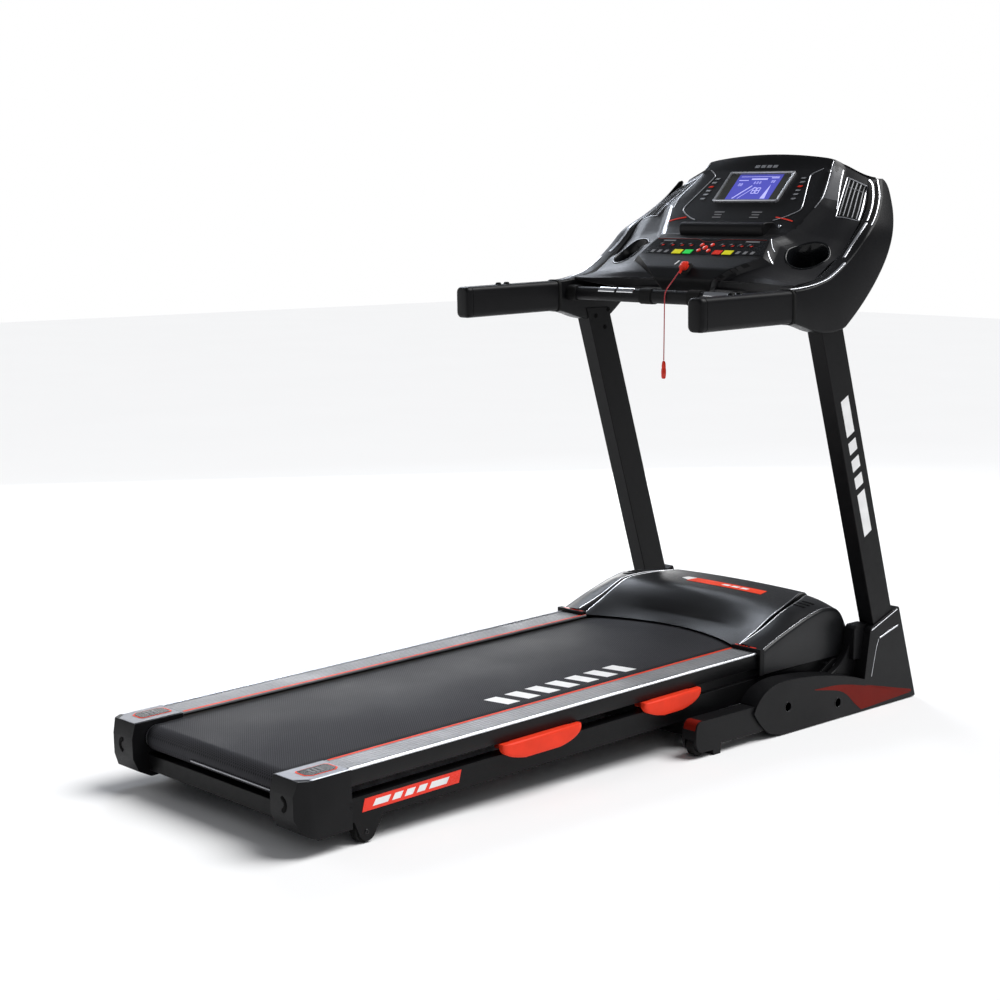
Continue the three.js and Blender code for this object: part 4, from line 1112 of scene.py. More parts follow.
def hood_trims(side, sign, fender_skin):
    """Silver strips along both edges of the groove and along the fender's top edge, as painted highlights of
    those edges; near-black vents near the top, as painted shade in their openings; the joint strip at the
    rear and its tab.
    """
    centre_line = [(239, 400, 184), (240, 460, 207), (240, 503, 228), (240, 547, 244), (225, 600, 251),
                   (198, 666, 254)]
    fender_line = [(254, 392, 189), (254, 459, 210), (254, 522, 235), (253, 552, 245), (241, 606, 251),
                   (214, 668, 251)]
    outer_line = [(308, 396, 181), (308, 458, 206), (308, 521, 226), (308, 556, 236), (308, 604, 245),
                  (308, 640, 243)]
    # These silver strips are painted highlights: the light caught by the groove's edges and by the fender's
    # rounded top edge.
    strips = [
        strip_on(hood_skin, [mirrored(p, sign) for p in centre_line], UP, 1.6, 0.5),
        strip_on(fender_skin, [mirrored(p, sign) for p in fender_line], UP, 1.6, 0.5),
        strip_on(fender_skin, [mirrored(p, sign) for p in outer_line], UP, 1.0, 0.4),
    ]
    piece(f"hood_edge_highlights_{side}", together(*strips), "deck", "silver")
    # Near-black raised strips for the vents: painted shade for the dark in their openings.
    vents = []
    for y in (578, 594, 610):
        line = [mirrored((x, y, 250), sign) for x in (250, 266, 282)]
        vents.append(strip_on(fender_skin, line, UP, 7, 1.2, 3))
    piece(f"hood_vent_shades_{side}", together(*vents), "deck", "black_and_painted_shade")
    strip = [(233, 166), (233, 183.5), (316.5, 183.5), (316.5, 124), (311, 124), (311, 166)]
    piece(f"hood_joint_{side}", sided(prism(strip, 379, 394, "Y"), sign), "deck", "black_plastic",
          edge=(1.4, 2))
    marks = []
    for x0, x1 in ((240, 249), (253, 258), (262, 267), (271, 276), (282, 300)):
        marks.append(prism([(x0, 383), (x1, 383), (x1 - 3, 389), (x0 - 3, 389)], 183.3, 184, "Z"))
    piece(f"hood_joint_marks_{side}", sided(together(*marks), sign), "deck", "red_gloss")


for side, sign in SIDES:
    hood_trims(side, sign, fender(side, sign))

decal = patch_on(hood_skin, [(-88, 591, 260), (142, 591, 260), (137, 621, 268), (-78, 621, 268)], UP, 0.6,
                 24, 8)
piece("hood_decal", decal, "deck", "orange_line")
decal_tip = patch_on(hood_skin, [(-114, 606, 260), (-86, 597, 260), (-80, 621, 268), (-106, 621, 268)], UP,
                     0.6, 4, 8)
piece("hood_decal_tip", decal_tip, "deck", "white_mark")
decal_bars = [
    patch_on(hood_skin, [(x, 601, 264), (x + 20, 601, 264), (x + 23, 611, 268), (x + 3, 611, 268)], UP, 0.9,
             4, 4)
    for x in (14, 42, 70)
]
piece("hood_decal_bars", together(*decal_bars), "deck", "white_mark")

# ---------------------------------------------------------------- console

FACE_CENTRE = [(497, 944), (474, 950), (463, 985), (480, 1010), (517, 1037), (563, 1076), (598, 1084),
               (621, 1101), (684, 1164), (750, 1230.5), (776, 1257)]
FACE_SIDE = [(478, 974), (450, 972), (440, 979), (470, 986), (510, 1000), (548, 1022), (585, 1050),
             (622, 1084), (664, 1132), (704, 1190), (728, 1216)]
BACK_CENTRE = [(782, 1252), (797, 1205), (778, 1120), (724, 1036), (654, 972), (574, 943), (499, 938)]
BACK_SIDE = [(734, 1211), (744, 1156), (736, 1093), (700, 1020), (640, 962), (560, 935), (473, 940)]
BODY_EDGE = [62, 66, 88, 126, 187, 169, 178, 196, 217, 201, 184]    # half width of the raised middle
BAND = [10, 10, 12, 12, 24, 28, 30, 34, 42, 42, 36]                 # width of the step beside it
STEP = [16, 16, 18, 18, 14, 12, 13, 14, 13, 11, 8]                  # depth of that step
CENTRE_HALF = 182
CROWN = 13


def between(values, s):
    k = min(int(s), len(values) - 2)
    f = s - k
    a, b = values[k], values[k + 1]
    if isinstance(a, tuple):
        return Vector((a[0] * (1 - f) + b[0] * f, a[1] * (1 - f) + b[1] * f))
    return a * (1 - f) + b * f


def eased(points, s, ease=0.14):
    """A point on a polyline with its corners rounded."""
    nearest = round(s)
    if 0 < nearest < len(points) - 1 and abs(s - nearest) < ease:
        t = (s - nearest + ease) / (2 * ease)
        a, b = between(points, nearest - ease), between(points, nearest + ease)
        return (1 - t) ** 2 * a + 2 * t * (1 - t) * Vector(points[nearest]) + t * t * b
    return between(points, s)


def swept(point):
    """The console's upper corners lean back and inward: nothing moves below them or near the middle."""
    reach = abs(point[0])
    weight = min(max((reach - 190) / 185, 0), 1) ** 0.6
    over = point[2] - (1090 + max(HALF_WIDTH - reach, 0) * 0.5)
    soft = 15
    rise = 0 if over < -soft else over if over > soft else (over + soft) ** 2 / (4 * soft)
    shift = rise * weight
    return Vector((math.copysign(reach - 0.6 * shift, point[0]), point[1] + 0.8 * shift, point[2]))


def console_point(x, s):
    reach = abs(x)
    blend = smooth(CENTRE_HALF - 20, CONSOLE_HALF + 20, reach)
    spot = eased(FACE_CENTRE, s) * (1 - blend) + eased(FACE_SIDE, s) * blend
    last = len(FACE_CENTRE) - 1
    ahead = eased(FACE_CENTRE, min(s + 0.2, last)) - eased(FACE_CENTRE, max(s - 0.2, 0))
    outward = Vector((-ahead.y, ahead.x)).normalized()
    edge, band = between(BODY_EDGE, s), between(BAND, s)
    regained = 0.85 * (1 - smooth(2.6, 4.4, s)) * smooth(edge + band, 322, reach)
    ramp = smooth(edge, edge + band, reach) * (1 - regained)
    droop = 8 * smooth(285, CONSOLE_HALF, reach) * smooth(5.2, 6.4, s) * (1 - smooth(8.2, 9, s))
    spot -= outward * (between(STEP, s) * ramp + droop)
    lift = max(CROWN * (1 - (x / CENTRE_HALF) ** 2), 0) * smooth(0.9, 1, s / last)
    return Vector((x, spot.x, spot.y + lift))


def console_columns(s):
    edge, band = between(BODY_EDGE, s), between(BAND, s)
    outer = CONSOLE_HALF
    right = [edge + band * t for t in (0, 0.08, 0.5, 0.92, 1)]
    right += [edge + band + (outer - edge - band) * k / 14 for k in range(1, 15)]
    middle = [edge * (2 * k / 36 - 1) for k in range(1, 36)]
    return [-x for x in reversed(right)] + middle + right


def console_rows():
    rows = []
    for k in range(len(FACE_CENTRE) - 1):
        rows += [k + f for f in (0, 0.05, 0.1, 0.14, 0.3, 0.5, 0.7, 0.86, 0.9, 0.95)]
    return rows + [len(FACE_CENTRE) - 1]


CUP_AXIS = Vector((0.12, -0.4, 0.91)).normalized()
CUP_MOUTH = Vector((268, 572, 1050))
CUP_RADIUS = 48


def cup_hole():
    return spun([(CUP_RADIUS, -60), (CUP_RADIUS, 80)], CUP_MOUTH, CUP_AXIS, 64)


face_grid = [[console_point(x, s) for x in console_columns(s)] for s in console_rows()]
face_grid = face_grid[::-1]
face_skin = Skin(slab(face_grid, [[p - FACE_OUT * 3 for p in row] for row in face_grid]))
console_face = thick_sheet("console_upper_fine", [[swept(p) for p in row] for row in face_grid], 3, "base",
                           "satin_wing", ("console_upper",), [cup_hole(), flipped(cup_hole())], sharp=30)


def glossy_middle(obj):
    """The raised middle of the face in the glossier, darker plastic."""
    obj.data.materials.append(LOOKS["black_plastic"])
    for polygon in obj.data.polygons:
        centre = polygon.center / MM
        s = nearest_station(centre)
        if abs(centre.x) < between(BODY_EDGE, s) + 1:
            polygon.material_index = 1


def nearest_station(point):
    flat = Vector((point.y, point.z))
    steps = [k / 4 for k in range(4 * (len(FACE_CENTRE) - 1) + 1)]
    return min(steps, key=lambda s: (between(FACE_CENTRE, s) - flat).length)


glossy_middle(console_face)


def back_point(x, s):
    blend = smooth(CENTRE_HALF - 20, CONSOLE_HALF + 20, abs(x))
    spot = eased(BACK_CENTRE, s, 0.3) * (1 - blend) + eased(BACK_SIDE, s, 0.3) * blend
    lift = max(CROWN * (1 - (x / CENTRE_HALF) ** 2), 0) * smooth(0.9, 1, 1 - s / (len(BACK_CENTRE) - 1))
    return Vector((x, spot.x, spot.y + lift))


back_grid = [[back_point(CONSOLE_HALF * (2 * i / 48 - 1), k / 8) for i in range(49)]
             for k in range(8 * (len(BACK_CENTRE) - 1) + 1)]
thick_sheet("console_back_fine", [[swept(p) for p in row] for row in back_grid[::-1]], 3, "base",
            "black_plastic", ("console_back",))


def on_face_strip(points, width, height, pieces=6):
    return strip_on(face_skin, points, FACE_OUT, width, height, pieces)


def both(points_or_mesh):
    return together(points_or_mesh, flipped(points_or_mesh))


def face_trims():
    """Silver contour lines, painted highlights along the raised middle's edge and the step's outer edge, a
    painted highlight band on the left side only, and small accents on the console face.
    """
    contour = [(170, 754, 1235), (147, 742, 1223), (146, 733, 1213), (163, 697, 1177), (177, 666, 1145),
               (168, 655, 1135), (140, 643, 1123), (118, 637, 1117)]
    # body_edge and outer_edge are painted highlights: the light caught by the rounded edges of the step
    # beside the raised middle.
    body_edge = [(185, 770, 1251), (202, 731, 1212), (216, 693, 1172), (213, 668, 1145)]
    outer_edge = [(222, 754, 1236), (244, 708, 1187), (260, 677, 1152)]
    strips = [
        on_face_strip(contour, 2.6, 0.9),
        on_face_strip(body_edge, 2.4, 0.9),
        on_face_strip(outer_edge, 2.2, 0.8),
        on_face_strip([(172, 565, 1076), (186, 549, 1062), (196, 541, 1055)], 2.2, 1.2),
        on_face_strip([(186, 536, 1050), (196, 527, 1040), (210, 517, 1030)], 3.4, 1.2),
    ]
    piece("face_lines_and_highlights", both(together(*strips)), "base", "silver", sweep=True)
    facet = patch_on(face_skin, [(214, 690, 1169), (250, 692, 1170), (222, 754, 1236), (188, 768, 1249)],
                     FACE_OUT, 0.4, 6, 16)
    piece("face_facets", both(facet), "base", "grey_facet", sweep=True)
    accents = [on_face_strip([(121, 644, 1124), (148, 641, 1120), (176, 636, 1115)], 3.4, 0.9),
               on_face_strip([(-197, 635, 1113), (-174, 640, 1118), (-150, 643, 1122)], 4, 0.9)]
    piece("face_accents", together(*accents), "base", "red_gloss")
    # A silver band on the left side only: a painted highlight of the left-hand light on that edge.
    band = patch_on(face_skin, [(176, 598, 1083), (201, 604, 1086), (234, 679, 1155), (220, 671, 1148)],
                    FACE_OUT, 0.8, 4, 12)
    piece("left_side_highlight", flipped(band), "base", "silver", sweep=True)


face_trims()


def key_grid(look, name, spots, wide, tall, height=1.6):
    """Small raised keys at the given places on the face."""
    keys = []
    slope = Vector((0, 46, 39)).normalized()
    for x, y, z in spots:
        centre = Vector((x, y, z))
        lean = 1.5
        corners = [centre + Vector((-wide / 2 - lean, 0, 0)) - slope * tall / 2,
                   centre + Vector((wide / 2 - lean, 0, 0)) - slope * tall / 2,
                   centre + Vector((wide / 2 + lean, 0, 0)) + slope * tall / 2,
                   centre + Vector((-wide / 2 + lean, 0, 0)) + slope * tall / 2]
        keys.append(patch_on(face_skin, corners, FACE_OUT, height, 2, 2))
    piece(name, together(*keys), "base", look, edge=(0.4, 2))


def key_panel():
    panel = patch_on(face_skin, [(-184, 520, 1040), (184, 520, 1040), (166, 561, 1074), (-166, 561, 1074)],
                     FACE_OUT, 0.5, 30, 10)
    piece("key_panel", panel, "base", "gloss_panel")
    line = [(-164, 560, 1073), (-80, 560, 1073), (-40, 560, 1073), (-18, 554, 1068), (0, 552.5, 1067),
            (18, 554, 1068), (40, 560, 1073), (80, 560, 1073), (164, 560, 1073)]
    piece("key_panel_line", on_face_strip(line, 1.5, 1.0, 4), "base", "dark_red")
    key_grid("yellow_key", "keys_yellow", [(-73, 526, 1044), (79, 526, 1044)], 27, 14)
    key_grid("green_key", "keys_green", [(-41, 526, 1044)], 24, 14)
    key_grid("red_gloss", "keys_red", [(48, 526, 1044)], 24, 14)
    upper = [(x, 544, 1060) for x in (-135, -104, -75, -47, 50, 77, 104, 132)]
    lower = [(x, 526, 1045) for x in (-150, -129, -108, 109, 130, 151)]
    key_grid("gloss_panel", "keys_upper_row", upper, 17, 10, 1.1)
    key_grid("grey_mark", "keys_lower_row", lower, 10, 9, 1.0)
    key_grid("red_gloss", "key_marks_red", [(x + 3, 542, 1058.5) for x, _, _ in upper], 6, 3.4, 1.8)
    key_grid("grey_mark", "key_marks_grey", [(x - 4, 546, 1062) for x, _, _ in upper], 6, 3, 1.7)
    dots = []
    for x, y, z in ((2, 537, 1054), (-13, 544, 1060), (18, 545, 1060), (-12, 530, 1048), (18, 529, 1048)):
        place = face_skin.under((x, y, z), FACE_OUT)[0]
        radius = 7 if x == 2 else 5.6
        dots.append(spun([(0.01, -0.5), (radius, -0.5), (radius, 1.3), (radius - 1.4, 2.2), (0.01, 2.5)],
                         place, FACE_OUT, 24))
    piece("direction_dots", together(*dots), "base", "red_gloss")
    labels = [patch_on(face_skin,
                       [(a, 553, 1067.5), (b, 553, 1067.5), (b + 1, 556, 1070), (a + 1, 556, 1070)],
                       FACE_OUT, 0.9, 6, 1) for a, b in ((-140, -104), (108, 148))]
    piece("key_labels", together(*labels), "base", "grey_mark")


key_panel()


def side_keys():
    """A column of small keys on each side of the display, and two small icons under it."""
    silver_spots = [(129, 733, 1213), (133, 724, 1204), (135, 705, 1185), (136, 696, 1176), (137, 686, 1166)]
    red_spots = [(134, 714, 1194)]
    for name, look, spots in (("side_keys_silver", "silver", silver_spots),
                              ("side_keys_red", "red_gloss", red_spots)):
        every = spots + [(-x, y, z) for x, y, z in spots]
        key_grid(look, name, every, 12, 4.2, 1.2)
    icons = []
    for x in (-57, 56):
        for wide, drop in ((30, 0), (22, 6), (26, 12)):
            icons.append(patch_on(face_skin, [
                (x - wide / 2, 654 - drop, 1134 - drop), (x + wide / 2, 654 - drop, 1134 - drop),
                (x + wide / 2, 656.4 - drop, 1136.4 - drop), (x - wide / 2, 656.4 - drop, 1136.4 - drop),
            ], FACE_OUT, 0.35, 3, 1))
    piece("face_icons", together(*icons), "base", "grey_mark")
    bars = [patch_on(face_skin,
                     [(x, 757, 1237.5), (x + 13, 757, 1237.5), (x + 15, 762, 1242.5), (x + 2, 762, 1242.5)],
                     FACE_OUT, 0.5, 2, 1) for x in (-36, -18, 0, 18)]
    piece("face_badge_bars", together(*bars), "base", "silver")


side_keys()


def ledge():
    """The tablet bar across the face, with a rounded nose, and a screw on each side."""
    outline = curve((594, 1080), (589, 1092), ((587, 1112), (606, 1113)), (628, 1113),
                    ((634, 1112), (631, 1106)), (620, 1096), (606, 1082), pieces=8)
    piece("tablet_ledge", prism(outline, -126, 126, "X"), "base", "black_plastic", edge=(2.5, 3))
    heads = [screw_head(face_skin.under((x, 624, 1104), FACE_OUT)[0], FACE_OUT, 4) for x in (-148, 148)]
    piece("ledge_screws", together(*heads), "base", "silver")


ledge()


def display():
    """A raised bezel round a sunken backlit screen."""
    def flat(mesh):
        return moved(mesh, LENS)

    outer = rounded_box(98, 49, 5)
    inner = rounded_box(93, 44, 2.5)
    profile = [(outer, -0.5), (outer, 4.2), ([(a * 0.985, b * 0.97) for a, b in outer], 5.4),
               ([(a * 1.012, b * 1.02) for a, b in inner], 5.4), (inner, 4.6), (inner, 0.6)]
    rings = [[Vector((a, b, depth)) for a, b in ring] for ring, depth in profile]
    ring_count = len(outer)
    points, faces = loft(rings, capped=False)
    last = (len(rings) - 1) * ring_count
    faces += [(k, last + k, last + (k + 1) % ring_count, (k + 1) % ring_count) for k in range(ring_count)]
    piece("display_bezel", flat((points, faces)), "base", "silver", ("lcd_lens",))
    margin = prism(rounded_box(93.4, 44.4, 2.5), 0.2, 1.0, "Z")
    piece("display_margin", flat(margin), "base", "screen_margin")
    piece("display_screen", flat(prism(rounded_box(66, 42, 1), 0.8, 1.25, "Z")), "base", "screen",
          edge=(0.1, 1))

    def bar(x0, y0, x1, y1, wide):
        start, end = Vector((x0, y0, 1.2)), Vector((x1, y1, 1.2))
        side = (end - start).cross(UP).normalized() * wide / 2
        ring = [start - side, end - side, end + side, start + side]
        return loft([ring, [p + UP * 0.3 for p in ring]])

    def digit(x, y, size):
        half = size / 2
        strokes = ((-half, size, half, size), (-half, 0, half, 0), (-half, -size, half, -size),
                   (-half, 0, -half, size), (half, 0, half, size), (-half, -size, -half, 0),
                   (half, -size, half, 0))
        return [bar(x + a, y + b, x + c, y + d, size * 0.22) for a, b, c, d in strokes]

    shapes = [bar(-46, -38, -8, 4, 3.4), bar(-30, -38, 4, 0, 1.6), bar(-58, 34, 58, 34, 1.2),
              bar(-58, 22, -30, 22, 2.2), bar(36, 30, 58, 30, 3.0), bar(-22, 26, 26, 26, 4.6)]
    triangle = [Vector((38, -38, 1.2)), Vector((52, -38, 1.2)), Vector((46, 8, 1.2))]
    shapes.append(loft([triangle, [p + UP * 0.3 for p in triangle]]))
    for x, y, size in ((6, -12, 9), (18, -12, 9), (-50, 8, 4), (-43, 8, 4), (44, 18, 3.4), (50, 18, 3.4),
                       (-6, 14, 3.4), (2, 14, 3.4), (10, 14, 3.4)):
        shapes += digit(x, y, size)
    piece("display_segments", flat(together(*shapes)), "base", "segments")


display()


def speaker(side, sign):
    """Slatted grille in the upper wing: a near-black patch in its well as painted shade, a silver rim and
    slats along the slope.
    """
    corners = [Vector(p) for p in ((246, 737, 1220), (323, 713, 1198), (328, 666, 1129), (270, 664, 1134))]
    top_left, top_right, bottom_right, bottom_left = corners
    order = [bottom_left, bottom_right, top_right, top_left]
    # The well's near-black patch is painted shade under the slats.
    well = patch_on(face_skin, order, FACE_OUT, 0.5, 10, 12)
    piece(f"speaker_well_shade_{side}", sided(well, sign), "base", "black_and_painted_shade", sweep=True)
    slats = []
    count = 5
    for k in range(count):
        t = (k + 0.7) / (count + 0.4)
        start, end = bottom_left.lerp(bottom_right, t), top_left.lerp(top_right, t)
        line = [start.lerp(end, f) for f in (0.03, 0.35, 0.65, 0.97)]
        slats.append(strip_on(face_skin, line, FACE_OUT, 2.4, 3.0, 4))
    cross = [top_left.lerp(bottom_left, 0.22).lerp(top_right.lerp(bottom_right, 0.22), f)
             for f in (0.04, 0.5, 0.96)]
    slats.append(strip_on(face_skin, cross, FACE_OUT, 2.4, 2.6, 5))
    piece(f"speaker_slats_{side}", sided(together(*slats), sign), "base", "steel_grey",
          sweep=True)
    frame_lines = [strip_on(face_skin, [bottom_left, top_left], FACE_OUT, 2.6, 3.0, 8),
                   strip_on(face_skin, [top_left, top_left.lerp(top_right, 0.5), top_right], FACE_OUT, 2.6,
                            3.0, 6),
                   strip_on(face_skin, [top_right, bottom_right], FACE_OUT, 3.4, 3.4, 8),
                   strip_on(face_skin, [bottom_left, bottom_left.lerp(bottom_right, 0.5), bottom_right],
                            FACE_OUT, 2.0, 1.6, 6)]
    piece(f"speaker_rim_{side}", sided(together(*frame_lines), sign), "base", "silver", sweep=True)


def cup_liner(side, sign):
    """The drink well: a rolled flange on the face, and a tapering wall to a round-cornered floor."""
    turn = CUP_AXIS.to_track_quat("Z", "Y")
    count = 64

    def at(radius, k, distance):
        angle = math.tau * k / count
        return CUP_MOUTH + turn @ Vector((radius * math.cos(angle), radius * math.sin(angle), distance))

    def surface(radius, k):
        place = face_skin.under(at(radius, k, 0), CUP_AXIS)[0]
        return (place - CUP_MOUTH).dot(CUP_AXIS)

    rings = [[at(44, k, -78) for k in range(count)]]
    for radius, lift in ((47.4, -2.5), (47.4, -0.3), (51.6, 0.2), (51.2, 1.1), (49.6, 1.7), (47.2, 1.3),
                         (45.6, -0.6)):
        rings.append([at(radius, k, surface(max(radius, 48), k) + lift) for k in range(count)])
    for radius, distance in ((44.6, -40), (43, -68), (41.5, -72.5), (38, -75)):
        rings.append([at(radius, k, distance) for k in range(count)])
    piece(f"cup_liner_{side}_fine", sided(loft(rings), sign), "base", "gloss_panel", (f"cup_liner_{side}",),
          sharp=50)


for side, sign in SIDES:
    speaker(side, sign)
    cup_liner(side, sign)

# ---------------------------------------------------------------- arms, handrails, pulse bar


def resampled(points, count):
    """Evenly spaced points along a polyline."""
    points = [Vector(p) for p in points]
    lengths = [0.0]
    for a, b in zip(points, points[1:]):
        lengths.append(lengths[-1] + (b - a).length)
    made, k = [], 0
    for i in range(count + 1):
        want = lengths[-1] * i / count
        while k < len(points) - 2 and lengths[k + 1] < want:
            k += 1
        made.append(points[k].lerp(points[k + 1], (want - lengths[k]) / (lengths[k + 1] - lengths[k])))
    return made


ARM_FRONT = curve((COLLAR, 973), ((460, 975), (520, 995)), ((599, 1032), (665, 1104)),
                  ((694, 1130), (699, 1172)),
                  (697, 1208), pieces=12)
ARM_BACK = curve((COLLAR, 902), (446, 890), ((510, 866), (578, 885)), ((672, 954), (720, 1028)),
                 ((764, 1100), (738, 1165)), ((726, 1206), (704, 1211)), pieces=12)


def arm_cover(side, sign):
    """A thick curved plate whose cross-section runs from the user's edge to the back edge."""
    middle, half = (ARM_INNER + HALF_WIDTH) / 2, (HALF_WIDTH - ARM_INNER) / 2
    rings = []
    for front, back in zip(resampled(ARM_FRONT, 54), resampled(ARM_BACK, 54)):
        across = (back - front).length
        way = (back - front).normalized()
        section = rounded_box(half, across / 2, min(5, across * 0.4), 4)
        rings.append([Vector((middle + a, *(front + way * (across / 2 + b)))) for a, b in section])
    mesh = sided(loft(rings), sign)
    piece(f"arm_cover_{side}_fine", mesh, "base", "black_plastic", (f"arm_cover_{side}",), sharp=40,
          sweep=True)
    return Skin(mesh)


def arm_trims(side, sign, skin):
    """The silver edge that runs down the arm beside the wing, a silver strip along the lip over the handrail
    as a painted highlight of that edge, and a near-black strip as painted shade in the groove.
    """
    outward = Vector((0, -0.7, 0.7)).normalized()

    def edge(points, width, height, way=outward):
        return strip_on(skin, [mirrored(p, sign) for p in points], way, width, height, 8)

    upper_inner = [(341, 697, 1208), (350, 699, 1196), (352, 698, 1172), (351, 677, 1118)]
    upper_outer = [(364, 700, 1206), (369, 698, 1180), (369, 690, 1140), (369, 669, 1108)]
    ribbed = [(352, 673, 1113), (350, 650, 1086), (350, 620, 1058), (354, 594, 1036)]
    # The strip along the lip is a painted highlight: the light caught by the arm's rounded top edge.
    lip = [(368, 578, 1024), (368, 532, 999), (364, 481, 982), (352, 430, 975), (344, 412, 974)]
    strips = [edge(upper_inner, 4, 0.9), edge(upper_outer, 2.6, 0.8), edge(ribbed, 7, 1.0),
              edge(lip, 7, 0.8, Vector((0, -0.3, 0.95)).normalized())]
    piece(f"arm_trim_and_highlight_{side}", together(*strips), "base", "silver", sweep=True)
    # A near-black strip for the groove between the silver lines: painted shade.
    dark = edge([(360, 699, 1202), (361, 697, 1172), (360, 678, 1120)], 6, 0.4)
    piece(f"arm_groove_shade_{side}", dark, "base", "black_and_painted_shade", sweep=True)


def handrail(side, sign):
    """Rounded rectangular grip tube with a softened end plug and a dark collar at the arm."""
    place = Matrix.Translation((sign * HANDRAIL_X, COLLAR, 937)) @ Matrix.Rotation(HANDRAIL_TILT, 4, "X")
    wide, tall, radius, length = 21, 35.5, 12, 300
    stations = [(-length, 7), (-length + 0.6, 4.6), (-length + 2.2, 2.3), (-length + 5, 0.7),
                (-length + 9, 0),
                (-length + 16, 0), (-length + 16.5, 0.8), (-length + 17.5, 0.8), (-length + 18, 0),
                (-150, 0), (-20, 0), (-1.2, 0)]
    rings = []
    for y, shrink in stations:
        ring = rounded_box(wide - shrink, tall - shrink, max(radius - shrink * 0.5, 3), 8)
        rings.append([place @ Vector((a, y, b)) for a, b in ring])
    piece(f"handrail_{side}_fine", loft(rings), "base", "black_plastic", (f"handrail_{side}",), sharp=50)
    collar_rings = []
    for y, grow in ((-7, 0.4), (-6, 2.2), (-4, 2.8), (0, 2.8), (1.5, 2.2), (2.4, 0.4)):
        ring = rounded_box(wide + grow, tall + grow, radius + grow, 8)
        collar_rings.append([place @ Vector((a, y, b)) for a, b in ring])
    piece(f"handrail_collar_{side}", loft(collar_rings), "base", "soft_rubber", sharp=50)
    for kind, y in (("plus", -158), ("minus", -184)):
        top = 5
        base = place @ Vector((0, y, tall))
        up = place.to_3x3() @ UP
        profile = [(0.01, -6), (6.5, -6), (6.5, 2.6), (6.1, 3.8), (4.8, top - 0.3), (3.2, top),
                   (2.6, top - 0.5),
                   (0.01, top - 0.6)]
        piece(f"button_{kind}_{side}_fine", spun(profile, base, up, 32), f"button_{kind}_body_{side}",
              "soft_rubber", (f"button_{kind}_{side}",))
        ring = spun([(6.9, -0.6), (9.4, -0.6), (9.2, 0.5), (8.4, 1.1), (7.3, 0.9), (6.9, 0.2), (6.9, -0.6)],
                    base, up, 32)
        piece(f"button_{kind}_{side}_ring", ring, "base", "gloss_panel")


def pulse_bar():
    """Rounded bar between the arms, with chrome contact plates and end sockets."""
    x1 = high("pulse_bar").x
    y, z = 436, 944
    section = [(y + a, z + b) for a, b in rounded_box(15, 16, 12, 8)]
    piece("pulse_bar_fine", prism(section, -x1, x1, "X"), "base", "black_plastic", ("pulse_bar",), sharp=50)

    def sleeve_part(x_from, x_to, grow, first, last):
        ring = rounded_box(15 + grow, 16 + grow, 12 + grow, 8)
        inside = rounded_box(15 - 0.3, 16 - 0.3, 12 - 0.3, 8)
        picked = [(y + a, z + b) for a, b in ring[first:last]]
        hollow = [(y + a, z + b) for a, b in inside[first:last]]
        return prism(picked + hollow[::-1], x_from, x_to, "X")

    plates = []
    for start, end in ((-228, -176), (-169, -117), (97, 178), (185, 270)):
        plates.append(sleeve_part(start, end, 1.0, 10, 17))
    piece("pulse_plates", together(*plates), "base", "chrome", edge=(0.4, 1))
    sockets = []
    for start, end in ((-x1, -302), (302, x1), (-98, -62), (48, 84)):
        ring = [(y + a, z + b) for a, b in rounded_box(17.5, 18.5, 13, 8)]
        sockets.append(prism(ring, start, end, "X"))
    piece("pulse_sockets", together(*sockets), "base", "soft_rubber", edge=(1.2, 2))


for side, sign in SIDES:
    arm_trims(side, sign, arm_cover(side, sign))
    handrail(side, sign)
pulse_bar()

# ---------------------------------------------------------------- safety key and tether

TETHER_ROUTE = [
    (0, 454.9, 1006.5), (-2, 449, 999), (-5, 441, 987.5), (-9, 433, 976), (-12, 425, 965.5), (-14, 420, 956),
    (-15, 418.5, 945), (-15, 418.3, 930), (-15, 418.3, 900), (-15, 418.3, 865), (-15, 418.3, 830),
    (-15, 418.3, 800.3),
]
TETHER_DIAMETER_M = 0.0025


def safety_key():
    """A red tab on a short plug; the cord leaves its lower end."""
    plug = [(rounded_box(7.5, 8, 4.5, 6), 3.3), (rounded_box(7.5, 8, 4.5, 6), 10.6)]
    cap = [(rounded_box(9.2, 9.4, 5, 6), 10), (rounded_box(10, 10.4, 5.4, 6), 11.2),
           (rounded_box(10, 10.4, 5.4, 6), 13.4), (rounded_box(9, 9.2, 5, 6), 14.8),
           (rounded_box(6.4, 6.8, 4, 6), 15.4)]
    parts = [moved(loft([[Vector((a, b, depth)) for a, b in ring] for ring, depth in stack]), KEY)
             for stack in (plug, cap)]
    nose = moved(spun([(0.01, 0), (2.6, 0), (3.6, 6), (3.6, 13), (0.01, 14)], (0, -22.5, 9), (0, 1, 0.2),
                      20), KEY)
    key = piece("safety_key_fine", together(*parts, nose), "safety_key_body", "red_gloss", ("safety_key",),
                sharp=50)
    mark = patch_on(face_skin, [(-50, 489, 1016), (-46, 489, 1016), (-42, 500, 1025), (-46, 500, 1025)],
                    FACE_OUT, 0.4, 2, 4)
    piece("key_mark", mark, "base", "white_mark")
    seat = moved(loft([[Vector((a, b, depth)) for a, b in ring] for ring, depth in (
        (rounded_box(12.6, 15.6, 6.4, 6), -2), (rounded_box(12.6, 15.6, 6.4, 6), 1.2),
        (rounded_box(12, 15, 6, 6), 2.2),
        (rounded_box(9, 12, 5, 6), 2.2), (rounded_box(8.6, 11.6, 5, 6), 1.0))]), KEY)
    piece("key_seat", seat, "base", "soft_rubber", sharp=50)
    return key


